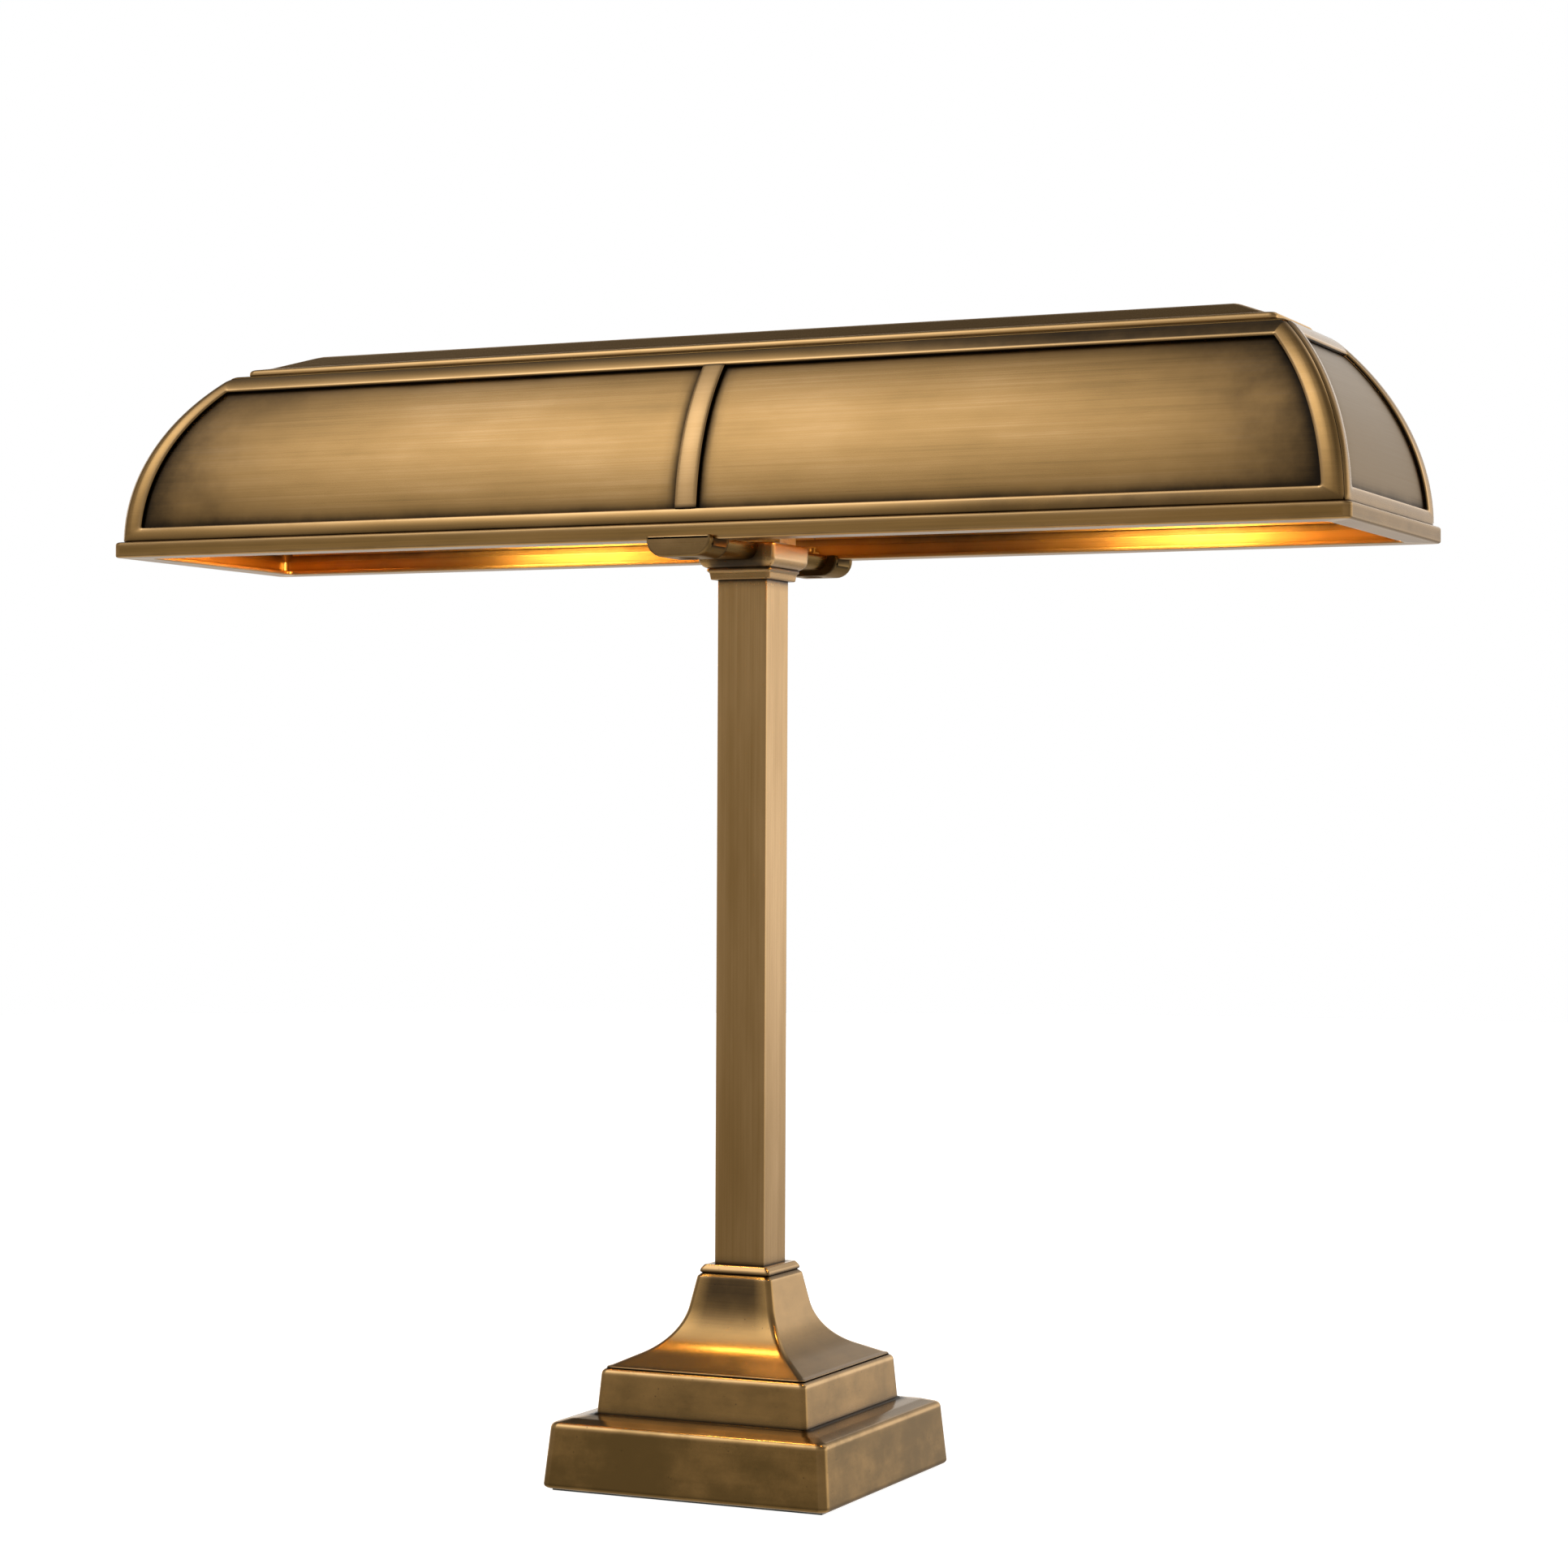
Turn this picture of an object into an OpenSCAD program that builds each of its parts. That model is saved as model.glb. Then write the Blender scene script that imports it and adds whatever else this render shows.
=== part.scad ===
// Banker desk lamp. A long brass shade with bowed, panelled sides sits by its rim in two
// hooked arms on top of a square column, which stands on a stepped square base.
// Two lamps lie end to end under the shade and screw out along X.
// Millimetres, +Z up. The origin is the centre of the base, on the table top.
// +X runs along the shade, -Y is the front.

/* [Base] */
// Width of the plinth at the table
plinth_w = 144.2; // [140:0.1:160]
// Width of the plinth at its upper edge
plinth_top_w = 138.9; // [134:0.1:139]
// Height of the plinth's upper edge
plinth_edge_z = 31; // [28:0.1:33]
// Width of the second block where it meets the plinth
riser_w = 106.7; // [100:0.1:110]
// Width of the second block at its top
riser_top_w = 103.8; // [98:0.1:106]
// Height of the second block's foot
riser_z = 34; // [34:0.1:36]
// Height of the second block's top
riser_top_z = 54.9; // [50:0.1:56]
// Radius of the coved pedestal's hollow sides
cove_r = 30; // [28:0.1:32]
// Height at which the coved pedestal ends
cove_top_z = 97.3; // [96:0.1:99]
// Thickness of the felt pad
felt_t = 1.2; // [1:0.1:2]

/* [Column] */
// Width of the square column tube
column_w = 25.4; // [24:0.1:26]
// Wall of the column tube
column_wall = 1.5; // [1:0.1:1.6]
// Height of the column's foot
column_z0 = 101.1; // [100.5:0.1:103]
// Height of the column's top
column_z1 = 421.3; // [380:0.1:421.3]

/* [Cradle] */
// Width of the hooked arms
arm_w = 32; // [28:0.5:34]
// Distance from the column's axis to the end of a hook
arm_reach = 80; // [79.5:0.1:82]
// Height of the underside of the arms
arm_z0 = 427.5; // [427.4:0.1:428]
// Height of the hook's floor, which the rim hangs over
hook_floor_z = 433; // [432:0.1:433.2]
// Thickness of the hook's upturned lip
hook_lip_t = 4; // [3:0.1:4.2]
// Height of the top of the lip
hook_lip_z = 437.2; // [436:0.1:438]

/* [Shade] */
// Length of the shade over its rim
shade_l = 620; // [520:1:640]
// Depth of the shade over its rim
shade_d = 151; // [150.5:0.1:152]
// Height of the rim's underside
rim_z0 = 435.4; // [435.2:0.1:436]
// Height of the rim's upper ledge
rim_z1 = 443; // [442:0.1:444]
// Width of the rim's inward flange
flange_w = 13.5; // [10:0.1:13.5]
// Radius of the bowed sides
bow_r = 111.5; // [110:0.1:113]
// Height of the top of the bowed sides
bow_top_z = 525.5; // [520:0.1:528]
// Height of the roof ridge
ridge_z = 538.5; // [538:0.1:545]
// Height of the bottom rail's upper edge
rail_z0 = 450; // [449:0.1:452]
// Height of the top rail's lower edge
rail_z1 = 517.5; // [512:0.1:518]
// Width of the upright at the end of a long side
stile_w = 11.5; // [9:0.1:13]
// Width of the upright at the edge of an end face
end_stile_w = 10.5; // [9:0.1:12]
// Width of the upright in the middle of a long side
mullion_w = 11; // [9:0.1:13]

/* [Lamps] */
// Height of the lamps' axis
lamp_z = 472; // [470:0.5:473]
// Length of a glass tube
glass_l = 104; // [80:1:110]
// Radius of a glass tube
glass_r = 13; // [11:0.1:13]
// Radius of a lamp's screw cap
cap_r = 6.95; // [6.8:0.01:7]

/* [Hidden] */
$fn = 96;
BIG = 1000;
EPS = 0.05;
CUT = 1;
BOW_FN = 240;

// base levels and thicknesses
plate_t = 2;
weight_t = 8.8;
plate_gap = 0.5;
felt_margin = 4;
wall = 3;
chamfer = 1.2;
plate_z1 = felt_t + plate_t;
weight_z1 = plate_z1 + weight_t;
cavity_top_z = plinth_edge_z - wall;
cove_c = [51.2, 88.2];
cove_lean = 11.3;
cove_rise = 25.5;
cove_foot_w = 100.6;
cove_foot_t = 1.3;
collar_w = 36.4;
collar_top_w = 32.4;
spigot_w = column_w - 2 * column_wall - 0.2;
spigot_h = 5;

// capital levels
cap_step_z1 = 426.5;
cap_block_z1 = 438;
cap_step_w0 = 30.4;
cap_step_w1 = 33.2;
cap_block_w = 40;
cap_flare_r = 4.5;
arm_edge_r = 8;
arm_neck_w = 23;
neck_edge_r = 6;
neck_z0 = arm_z0 + 2.5;
arm_root = 17;
hook_in = 62;
neck_end = 59;
screw_y = 68;

// centre rod and its hardware
rod_r = 5;
rod_bore_r = 3.6;
rod_hole_r = 5.2;
rod_z0 = 18;
rod_z1 = 450;
nut_af = 15;
nut_h = 5;
washer_t = 1.5;
washer_r = 9.5;

// shade skin: the frame strips lie over thinner panels
ledge = 2.2;
strip_t = 2;
panel_t = 1.2;
lap = 4;
panel_gap = 0.4;
ledge_inset = 39.2;
step_inset = 46.5;
crown_z0 = bow_top_z + 0.8;
step_z1 = 529.6;
roof_edge_t = 0.6;
eave_w = 7.2;
eave_rise = 1.7;
slope_w = 23.4;
roof_t = 1.5;
bow_z0 = rim_z1;

// lamp holders
strap_w = 18;
strap_t = 2;
strap_x = 60;
strap_pad_x = 18;
strap_lift = 6;
holder_r = 13.5;
holder_bore_r = 8.9;
holder_x1 = 95;
insert_t = 4;
base_t = 6;
sleeve_r = 8.6;
sleeve_bore_r = 7.3;
contact_t = 1.5;
contact_r = 2.6;
tip_t = 1.8;
nipple_x = 50;
nipple_nut_h = 4;
lead_r = 1.6;
lead_gap = 1.7;
lead_bend_r = 16;
lead_exit_r = 4;
terminal_y = 24;

insert_x = strap_x + base_t;
contact_x = insert_x + insert_t;
sleeve_x = contact_x + 0.5;
tip_x = contact_x + contact_t + 0.3;
cap_x = tip_x + tip_t;
cap_l = 24;
glass_x = cap_x + cap_l;

BRASS = "#9a7844";
BRASS_DARK = "#7a5c33";
STEEL = "#a8abb0";

// ---- helpers -------------------------------------------------------------

// An outline drawn as half width (x) against height (y), run along Y or along X
module along_y(len = BIG) rotate([90, 0, 0]) linear_extrude(len, center = true) children();
module along_x(len = BIG) rotate([90, 0, 90]) linear_extrude(len, center = true) children();

// Square moulding: the outline runs along both axes, so its corners mitre at 45 degrees
module square_mould() intersection() {
  along_y() children();
  along_x() children();
}

// Closed symmetric outline from its right-hand points, listed upwards
function both_sides(pts) = concat(pts, [for (i = [len(pts) - 1:-1:0]) [-pts[i][0], pts[i][1]]]);

// Square block between two heights
module block(w, z0, z1) translate([-w / 2, -w / 2, z0]) cube([w, w, z1 - z0]);

// Rectangular ring or plate with its outer edge set in from the rim by a given amount
module slab(inset, z0, z1) {
  size = [shade_l - 2 * inset, shade_d - 2 * inset, z1 - z0];
  translate([-size[0] / 2, -size[1] / 2, z0]) cube(size);
}

// Clearance hole for the centre rod
module rod_hole(z0, z1) translate([0, 0, z0]) cylinder(h = z1 - z0, r = rod_hole_r);

// Hexagonal nut with a round bore, standing on z = 0
module hex_nut(af, h, bore_r) difference() {
  cylinder(h = h, r = af / sqrt(3), $fn = 6);
  translate([0, 0, -CUT]) cylinder(h = h + 2 * CUT, r = bore_r);
}

// The four corners of a square
module at_corners(d) for (sx = [-1, 1], sy = [-1, 1]) translate([sx * d, sy * d, 0]) children();

// Front and back screw places of the rim clamp
module at_hooks() for (s = [-1, 1]) translate([0, s * screw_y, 0]) children();

// +X is the right-hand lamp, and the left-hand one is its mirror image
module side(s) if (s > 0) children(); else mirror([1, 0, 0]) children();

// Puts something drawn along Z onto the lamps' axis, along X from x0
module on_lamp_axis(x0) translate([x0, 0, lamp_z]) rotate([0, 90, 0]) children();

// ---- base ----------------------------------------------------------------

screw_at = 52;
screw_shank_r = 2;
screw_head_r = 3.6;
screw_bite = 8;
boss_r = 5;
plinth_in_w = plinth_top_w - 2 * wall;
bushing_z = 18.6;
bushing_r = 4.5;
bushing_bore_r = 3.2;
bushing_flange = 2;
bushing_y0 = 64;
bushing_y1 = 73.4;

module felt_pad() color("#2f3a30") block(plinth_w - 2 * felt_margin, 0, felt_t);

module bottom_plate() color(STEEL) difference() {
  block(plinth_in_w - 2 * plate_gap, felt_t, plate_z1);
  at_corners(screw_at) translate([0, 0, felt_t - CUT])
    cylinder(h = plate_t + 2 * CUT, r = screw_head_r + 0.1);
}

module base_weight() color("#3c3d40") difference() {
  block(plinth_in_w - 2 * plate_gap, plate_z1, weight_z1);
  at_corners(screw_at) translate([0, 0, plate_z1 - CUT])
    cylinder(h = weight_t + 2 * CUT, r = screw_shank_r + 0.2);
}

// Heads lie inside the bottom plate, and the shanks end in the plinth's corner bosses
module plate_screws() color(STEEL) at_corners(screw_at) {
  translate([0, 0, felt_t + 0.1]) cylinder(h = plate_t - 0.1, r = screw_head_r);
  translate([0, 0, plate_z1 - EPS]) cylinder(h = weight_t + screw_bite, r = screw_shank_r);
}

module plinth_outline() polygon(both_sides([
  [plinth_w / 2, felt_t], [plinth_top_w / 2, plinth_edge_z - chamfer / 2],
  [plinth_top_w / 2 - chamfer, plinth_edge_z + chamfer / 8], [riser_w / 2 + 1, riser_z]
]));

module base_plinth() color(BRASS) difference() {
  union() {
    difference() {
      square_mould() plinth_outline();
      block(plinth_in_w, felt_t - CUT, cavity_top_z);
    }
    at_corners(screw_at) translate([0, 0, weight_z1])
      cylinder(h = cavity_top_z - weight_z1 + EPS, r = boss_r);
  }
  at_corners(screw_at) translate([0, 0, weight_z1 - CUT])
    cylinder(h = screw_bite + 2 * CUT, r = screw_shank_r + EPS);
  rod_hole(cavity_top_z - CUT, riser_z + CUT);
  translate([0, bushing_y0, bushing_z]) rotate([-90, 0, 0])
    cylinder(h = plinth_w, r = bushing_r + EPS);
}

module riser_outline(t) polygon(both_sides([
  [riser_w / 2 - t, riser_z], [riser_top_w / 2 - t, riser_top_z - chamfer - t],
  [riser_top_w / 2 - chamfer - t, riser_top_z - t]
]));

module base_riser() color(BRASS) difference() {
  square_mould() riser_outline(0);
  square_mould() translate([0, -EPS]) riser_outline(wall);
  rod_hole(riser_top_z - wall - CUT, riser_top_z + CUT);
}

// Hollow curve between a steep upper line and a shallow lower one, both tangent to it
function cove_upper(z) = cove_c - cove_r * [cos(cove_lean), sin(cove_lean)]
  + (z - cove_c[1] + cove_r * sin(cove_lean)) * [-tan(cove_lean), 1];
function cove_lower(w) = cove_c - cove_r * [sin(cove_rise), cos(cove_rise)]
  + (w - cove_c[0] + cove_r * sin(cove_rise)) * [1, -tan(cove_rise)];

module cove_outline(t) {
  shoulder = 2;
  foot = cove_foot_w / 2;
  lower_end = cove_c[0] - cove_r * sin(cove_rise);
  upper_end = cove_c[1] - cove_r * sin(cove_lean);
  difference() {
    polygon(both_sides([
      [foot - t, riser_top_z], [foot - t, riser_top_z + cove_foot_t - 0.6 * t],
      cove_lower(foot - 1.6) - [t, t] * 0.9, cove_lower(lower_end) - [t, t] * 0.7,
      cove_upper(upper_end) - [t, 0], cove_upper(cove_top_z - shoulder) - [t, 0],
      [cove_upper(cove_top_z)[0] - shoulder * 0.7 - t, cove_top_z - t]
    ]));
    for (s = [-1, 1]) translate([s * cove_c[0], cove_c[1]]) circle(cove_r + t, $fn = 180);
  }
}

module base_cove() color(BRASS) difference() {
  square_mould() cove_outline(0);
  square_mould() translate([0, -EPS]) cove_outline(wall);
  rod_hole(cove_top_z - wall - CUT, cove_top_z + CUT);
}

// The collar's sides lean in to the width of its top, with a small chamfer at each edge
module collar_outline() polygon(both_sides([
  [collar_w / 2, cove_top_z], [collar_w / 2 - chamfer / 2, cove_top_z + chamfer],
  [collar_top_w / 2 + 0.1, column_z0 - 0.8], [collar_top_w / 2, column_z0]
]));

module base_collar() color(BRASS) difference() {
  union() {
    square_mould() collar_outline();
    block(spigot_w, column_z0 - EPS, column_z0 + spigot_h);
  }
  rod_hole(cove_top_z - CUT, column_z0 + spigot_h + CUT);
}

// Grommet in the back wall of the plinth, flanged inside and out
module cord_bushing() color("#1c1c1c") translate([0, 0, bushing_z]) rotate([-90, 0, 0]) difference() {
  union() {
    translate([0, 0, bushing_y0]) cylinder(h = bushing_y1 - bushing_y0, r = bushing_r);
    translate([0, 0, bushing_y1 - 1.8]) cylinder(h = 1.8, r = bushing_r + bushing_flange);
    translate([0, 0, bushing_y0]) cylinder(h = 2, r = bushing_r + 1.5);
  }
  translate([0, 0, bushing_y0 - CUT])
    cylinder(h = bushing_y1 - bushing_y0 + 2 * CUT, r = bushing_bore_r);
}

terminal_size = [20, 18, 11];
terminal_well_r = 1.8;
terminal_well_h = 5;

module terminal_block() color("#e9e6dc") difference() {
  translate([-terminal_size[0] / 2, terminal_y, weight_z1]) cube(terminal_size);
  for (sx = [-1, 1], sy = [-1, 1])
    translate([sx * terminal_size[0] / 4, terminal_y + terminal_size[1] / 2 + sy * 4,
               weight_z1 + terminal_size[2] - terminal_well_h])
      cylinder(h = terminal_well_h + CUT, r = terminal_well_r);
}

// ---- column and centre rod ------------------------------------------------

module column_tube() color(BRASS) difference() {
  block(column_w, column_z0, column_z1);
  block(column_w - 2 * column_wall, column_z0 - CUT, column_z1 + CUT);
}

module threaded_rod() color(STEEL) translate([0, 0, rod_z0]) difference() {
  cylinder(h = rod_z1 - rod_z0, r = rod_r);
  translate([0, 0, -CUT]) cylinder(h = rod_z1 - rod_z0 + 2 * CUT, r = rod_bore_r);
}

low_nut_z = cavity_top_z - washer_t - nut_h;
high_nut_z = cap_block_z1 + strap_t + washer_t;

module rod_nuts() color(STEEL) for (z = [low_nut_z, high_nut_z])
  translate([0, 0, z]) hex_nut(nut_af, nut_h, rod_r + EPS);

module rod_washers() color(STEEL) for (z = [cavity_top_z - washer_t, cap_block_z1 + strap_t])
  translate([0, 0, z]) difference() {
    cylinder(h = washer_t, r = washer_r);
    translate([0, 0, -CUT]) cylinder(h = washer_t + 2 * CUT, r = rod_r + 0.1);
  }

// ---- capital and hooked arms ----------------------------------------------

module capital_step() color(BRASS) difference() {
  union() {
    square_mould() polygon(both_sides([
      [cap_step_w0 / 2, column_z1], [cap_step_w0 / 2 + 0.4, column_z1 + chamfer],
      [cap_step_w0 / 2 + 0.5, cap_step_z1 - 1.6],
      [cap_step_w1 / 2, cap_step_z1 - 0.4], [cap_step_w1 / 2, cap_step_z1]
    ]));
    block(spigot_w, column_z1 - spigot_h, column_z1 + EPS);
  }
  rod_hole(column_z1 - spigot_h - CUT, cap_step_z1 + CUT);
}

// The block flares out on a quarter round, then rises straight
module capital_outline() {
  half = cap_block_w / 2;
  round_z = cap_step_z1 + cap_flare_r;
  translate([-half, round_z]) square([2 * half, cap_block_z1 - round_z]);
  translate([-half + cap_flare_r, cap_step_z1]) square([2 * (half - cap_flare_r), cap_flare_r + CUT]);
  for (s = [-1, 1]) translate([s * (half - cap_flare_r), round_z]) circle(cap_flare_r, $fn = 64);
}

// Cross section of an arm: a bar whose lower long edges are well rounded
module arm_section(w, r, z0, z1) {
  for (s = [-1, 1]) translate([s * (w / 2 - r), z0 + r]) circle(r, $fn = 64);
  translate([-w / 2 + r, z0]) square([w - 2 * r, z1 - z0]);
  translate([-w / 2, z0 + r]) square([w, z1 - z0 - r]);
}

// Length of arm from y0 out to y1, cut off level at z1
module arm_bar(w, r, y0, y1, z0, z1) intersection() {
  translate([0, (y0 + y1) / 2, 0]) along_y(y1 - y0) arm_section(w, r, z0, z1 + CUT);
  translate([-BIG / 2, -BIG / 2, z0 - CUT]) cube([BIG, BIG, z1 - z0 + CUT]);
}

module arm_sockets() for (a = [0, 180]) rotate([0, 0, a])
  arm_bar(arm_neck_w, neck_edge_r, arm_root, arm_reach, neck_z0, cap_block_z1 + CUT);

module capital_block() color(BRASS) difference() {
  square_mould() capital_outline();
  arm_sockets();
  rod_hole(cap_step_z1 - CUT, cap_block_z1 + CUT);
}

// One arm, drawn towards +Y: neck, hook block, notch for the rim's flange, upturned lip
module hooked_arm() difference() {
  union() {
    arm_bar(arm_neck_w, neck_edge_r, arm_root, neck_end + CUT, neck_z0, hook_lip_z);
    arm_bar(arm_w, arm_edge_r, neck_end, arm_reach, arm_z0, hook_lip_z);
  }
  translate([-arm_w, hook_in, hook_floor_z]) cube([2 * arm_w, arm_reach - hook_lip_t - hook_in, 20]);
  translate([0, screw_y, arm_z0 - CUT]) cylinder(h = 20, r = clamp_hole_r);
  translate([0, screw_y, arm_z0 - CUT]) cylinder(h = clamp_recess_h + CUT, r = clamp_recess_r);
}

module arm_front() color(BRASS) rotate([0, 0, 180]) hooked_arm();
module arm_back() color(BRASS) hooked_arm();

clamp_r = 1.5;
clamp_hole_r = clamp_r + 0.15;
clamp_recess_r = 4.75;
clamp_recess_h = 2.6;
clamp_head_r = 4.2;
clamp_head_h = 2;
clamp_nut_af = 5.6;
clamp_nut_h = 2.4;
pad_r = 5.4;
flange_t = 2;
clamp_nut_z = rim_z0 + flange_t;

// Soft washers between the hook floors and the rim's flange
module flange_pads() color("#262626") at_hooks() translate([0, 0, hook_floor_z]) difference() {
  cylinder(h = rim_z0 - hook_floor_z, r = pad_r);
  translate([0, 0, -CUT]) cylinder(h = 5, r = clamp_hole_r);
}

// Heads lie in the recesses under the hooks, and the shanks end just above their nuts
module clamp_screws() color(BRASS_DARK) at_hooks() {
  head_z = arm_z0 + clamp_recess_h - clamp_head_h;
  translate([0, 0, head_z]) cylinder(h = clamp_head_h, r = clamp_head_r);
  translate([0, 0, head_z]) cylinder(h = clamp_nut_z + clamp_nut_h + 1.8 - head_z, r = clamp_r);
}

module clamp_nuts() color(BRASS_DARK) at_hooks() translate([0, 0, clamp_nut_z])
  hex_nut(clamp_nut_af, clamp_nut_h, clamp_r + EPS);

// ---- shade ----------------------------------------------------------------

// Everything inside one bowed side whose foot stands at x = half, taken in by t
module inside_bow(half, t) {
  cx = half - ledge - bow_r;
  translate([cx, bow_z0]) circle(bow_r - t, $fn = BOW_FN);
  translate([-BIG + cx, bow_z0 - 1]) square(BIG);
}

// Outline of the bowed vault between two heights
module vault_outline(half, t, z0, z1) intersection() {
  inside_bow(half, t);
  mirror([1, 0]) inside_bow(half, t);
  translate([-half, z0]) square([2 * half, z1 - z0]);
}

module vault(t, z0, z1) intersection() {
  along_y() vault_outline(shade_l / 2, t, z0, z1);
  along_x() vault_outline(shade_d / 2, t, z0, z1);
}

// Curved shell between two depths below the outer surface
module vault_shell(t0, t1, z0, z1) difference() {
  vault(t0, z0, z1);
  vault(t1, z0 - CUT, z1 + CUT);
}

// Prism of the window area of the long sides, and of the ends
module long_window(margin, z0, z1) along_y() vault_outline(shade_l / 2 - margin, 0, z0, z1);
module end_window(margin, z0, z1) along_x() vault_outline(shade_d / 2 - margin, 0, z0, z1);

module shade_rim() color(BRASS) difference() {
  slab(0, rim_z0, rim_z1);
  slab(flange_w, rim_z0 - CUT, rim_z1 + CUT);
  slab(ledge + strip_t, rim_z0 + flange_t, rim_z1 + CUT);
  at_hooks() translate([0, 0, rim_z0 - CUT]) cylinder(h = flange_t + 2 * CUT, r = clamp_hole_r);
}

module bottom_rail() color(BRASS) vault_shell(0, strip_t, rim_z1, rail_z0);
module top_rail() color(BRASS) vault_shell(0, strip_t, rail_z1, bow_top_z);

module corner_stiles() color(BRASS) difference() {
  vault_shell(0, strip_t, rail_z0, rail_z1);
  long_window(stile_w, rail_z0 - CUT, rail_z1 + CUT);
  end_window(end_stile_w, rail_z0 - CUT, rail_z1 + CUT);
}

module mullion_front() color(BRASS) intersection() {
  vault_shell(0, strip_t, rail_z0, rail_z1);
  translate([-mullion_w / 2, -BIG, 0]) cube([mullion_w, BIG, BIG]);
}

module mullion_back() mirror([0, 1, 0]) mullion_front();

// Skin of half a long side, front left; its edges lap behind the strips
module long_panel() color(BRASS) intersection() {
  vault_shell(strip_t, strip_t + panel_t, rail_z0 - lap, rail_z1 + lap);
  long_window(stile_w - lap, rail_z0 - lap - CUT, rail_z1 + lap + CUT);
  translate([-BIG - panel_gap / 2, -BIG, 0]) cube(BIG);
}

module end_panel() color(BRASS) intersection() {
  vault_shell(strip_t, strip_t + panel_t, rail_z0 - lap, rail_z1 + lap);
  end_window(end_stile_w - lap, rail_z0 - lap - CUT, rail_z1 + lap + CUT);
  translate([0, -BIG / 2, 0]) cube(BIG);
}

module panel_front_left() long_panel();
module panel_front_right() mirror([1, 0, 0]) long_panel();
module panel_back_left() mirror([0, 1, 0]) long_panel();
module panel_back_right() mirror([0, 1, 0]) mirror([1, 0, 0]) long_panel();
module panel_end_right() end_panel();
module panel_end_left() mirror([1, 0, 0]) end_panel();

module crown_plate() color(BRASS) slab(ledge_inset, bow_top_z, crown_z0);

module crown_step() color(BRASS_DARK) difference() {
  slab(step_inset, crown_z0, step_z1 - roof_edge_t);
  slab(step_inset + wall, crown_z0 - CUT, step_z1);
}

// Outline of the hipped roof above z0, taken down and in by t: a thin edge, a flatter eave,
// the slope and a level ridge
module roof_outline(half, z0, t) {
  edge = half - step_inset - 1.5 * t;
  polygon(both_sides([
    [edge, z0], [edge, step_z1 - roof_edge_t - t], [edge - roof_edge_t, step_z1 - t],
    [edge - eave_w, step_z1 + eave_rise - t], [edge - slope_w, ridge_z - 0.8 - t],
    [edge - slope_w - 1.2, ridge_z - t]
  ]));
}

module roof(z0, t) intersection() {
  along_y() roof_outline(shade_l / 2, z0, t);
  along_x() roof_outline(shade_d / 2, z0, t);
}

module crown_ridge() color(BRASS) difference() {
  roof(step_z1 - roof_edge_t, 0);
  roof(crown_z0, roof_t);
}

// ---- lamp holders -----------------------------------------------------------

strap_z0 = cap_block_z1;
strap_arm_z0 = strap_z0 + strap_lift;
tab_z1 = lamp_z + 16;

// Strap screwed down on the capital, joggled up clear of the rim, with an upright tab at each end
module strap_bar(x0, x1, z0, z1) translate([x0, -strap_w / 2, z0]) cube([x1 - x0, strap_w, z1 - z0]);

module holder_strap() color(STEEL) difference() {
  union() {
    strap_bar(-strap_pad_x, strap_pad_x, strap_z0, strap_z0 + strap_t);
    for (s = [-1, 1]) side(s) {
      strap_bar(strap_pad_x - strap_t, strap_pad_x, strap_z0, strap_arm_z0 + strap_t);
      strap_bar(strap_pad_x - strap_t, strap_x, strap_arm_z0, strap_arm_z0 + strap_t);
      strap_bar(strap_x - strap_t, strap_x, strap_arm_z0, tab_z1);
    }
  }
  rod_hole(strap_z0 - CUT, strap_z0 + strap_t + CUT);
  on_lamp_axis(-strap_x - CUT) cylinder(h = 2 * strap_x + 2 * CUT, r = rod_hole_r);
}

module nipple() color(STEEL) on_lamp_axis(nipple_x) difference() {
  cylinder(h = insert_x - nipple_x, r = rod_r);
  translate([0, 0, -CUT]) cylinder(h = insert_x - nipple_x + 2 * CUT, r = rod_bore_r);
}

module nipple_nuts() color(STEEL) for (s = [-1, 1]) side(s)
  on_lamp_axis(strap_x - strap_t - nipple_nut_h) hex_nut(nut_af, nipple_nut_h, rod_r + EPS);

// Moulded cup, open outward
module holder() color("#1d1b19") on_lamp_axis(strap_x) difference() {
  cylinder(h = holder_x1 - strap_x, r = holder_r);
  translate([0, 0, base_t]) cylinder(h = holder_x1, r = holder_bore_r);
  translate([0, 0, -CUT]) cylinder(h = base_t + 2 * CUT, r = rod_r + EPS);
}

// Ceramic seat with the sprung centre contact on it
module insert() color("#ece8df") on_lamp_axis(insert_x) {
  cylinder(h = insert_t, r = holder_bore_r - 0.1);
  cylinder(h = insert_t + contact_t, r = contact_r);
}

module sleeve() color(BRASS) on_lamp_axis(sleeve_x) difference() {
  cylinder(h = holder_x1 - 1 - sleeve_x, r = sleeve_r);
  translate([0, 0, -CUT]) cylinder(h = holder_x1 - sleeve_x + CUT, r = sleeve_bore_r);
}

// Insulated lead: out of the terminal block, up the rod, over to the holder
module lead() color("#7a3b1e") {
  translate([lead_gap, 0, 0]) {
    translate([0, terminal_y, rod_z0 - lead_exit_r]) rotate([90, 0, 0])
      cylinder(h = terminal_y - lead_exit_r, r = lead_r);
    translate([0, lead_exit_r, rod_z0]) rotate([0, 90, 0]) rotate([0, 0, -90])
      rotate_extrude(angle = 90) translate([lead_exit_r, 0]) circle(lead_r, $fn = 32);
    translate([0, 0, rod_z0]) cylinder(h = lamp_z - lead_bend_r - rod_z0, r = lead_r);
    translate([lead_bend_r, 0, lamp_z - lead_bend_r]) rotate([90, 0, 0]) rotate([0, 0, 90])
      rotate_extrude(angle = 90) translate([lead_bend_r, 0]) circle(lead_r, $fn = 32);
  }
  on_lamp_axis(lead_gap + lead_bend_r) cylinder(h = insert_x - lead_gap - lead_bend_r, r = lead_r);
}

// ---- lamps ------------------------------------------------------------------

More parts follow.
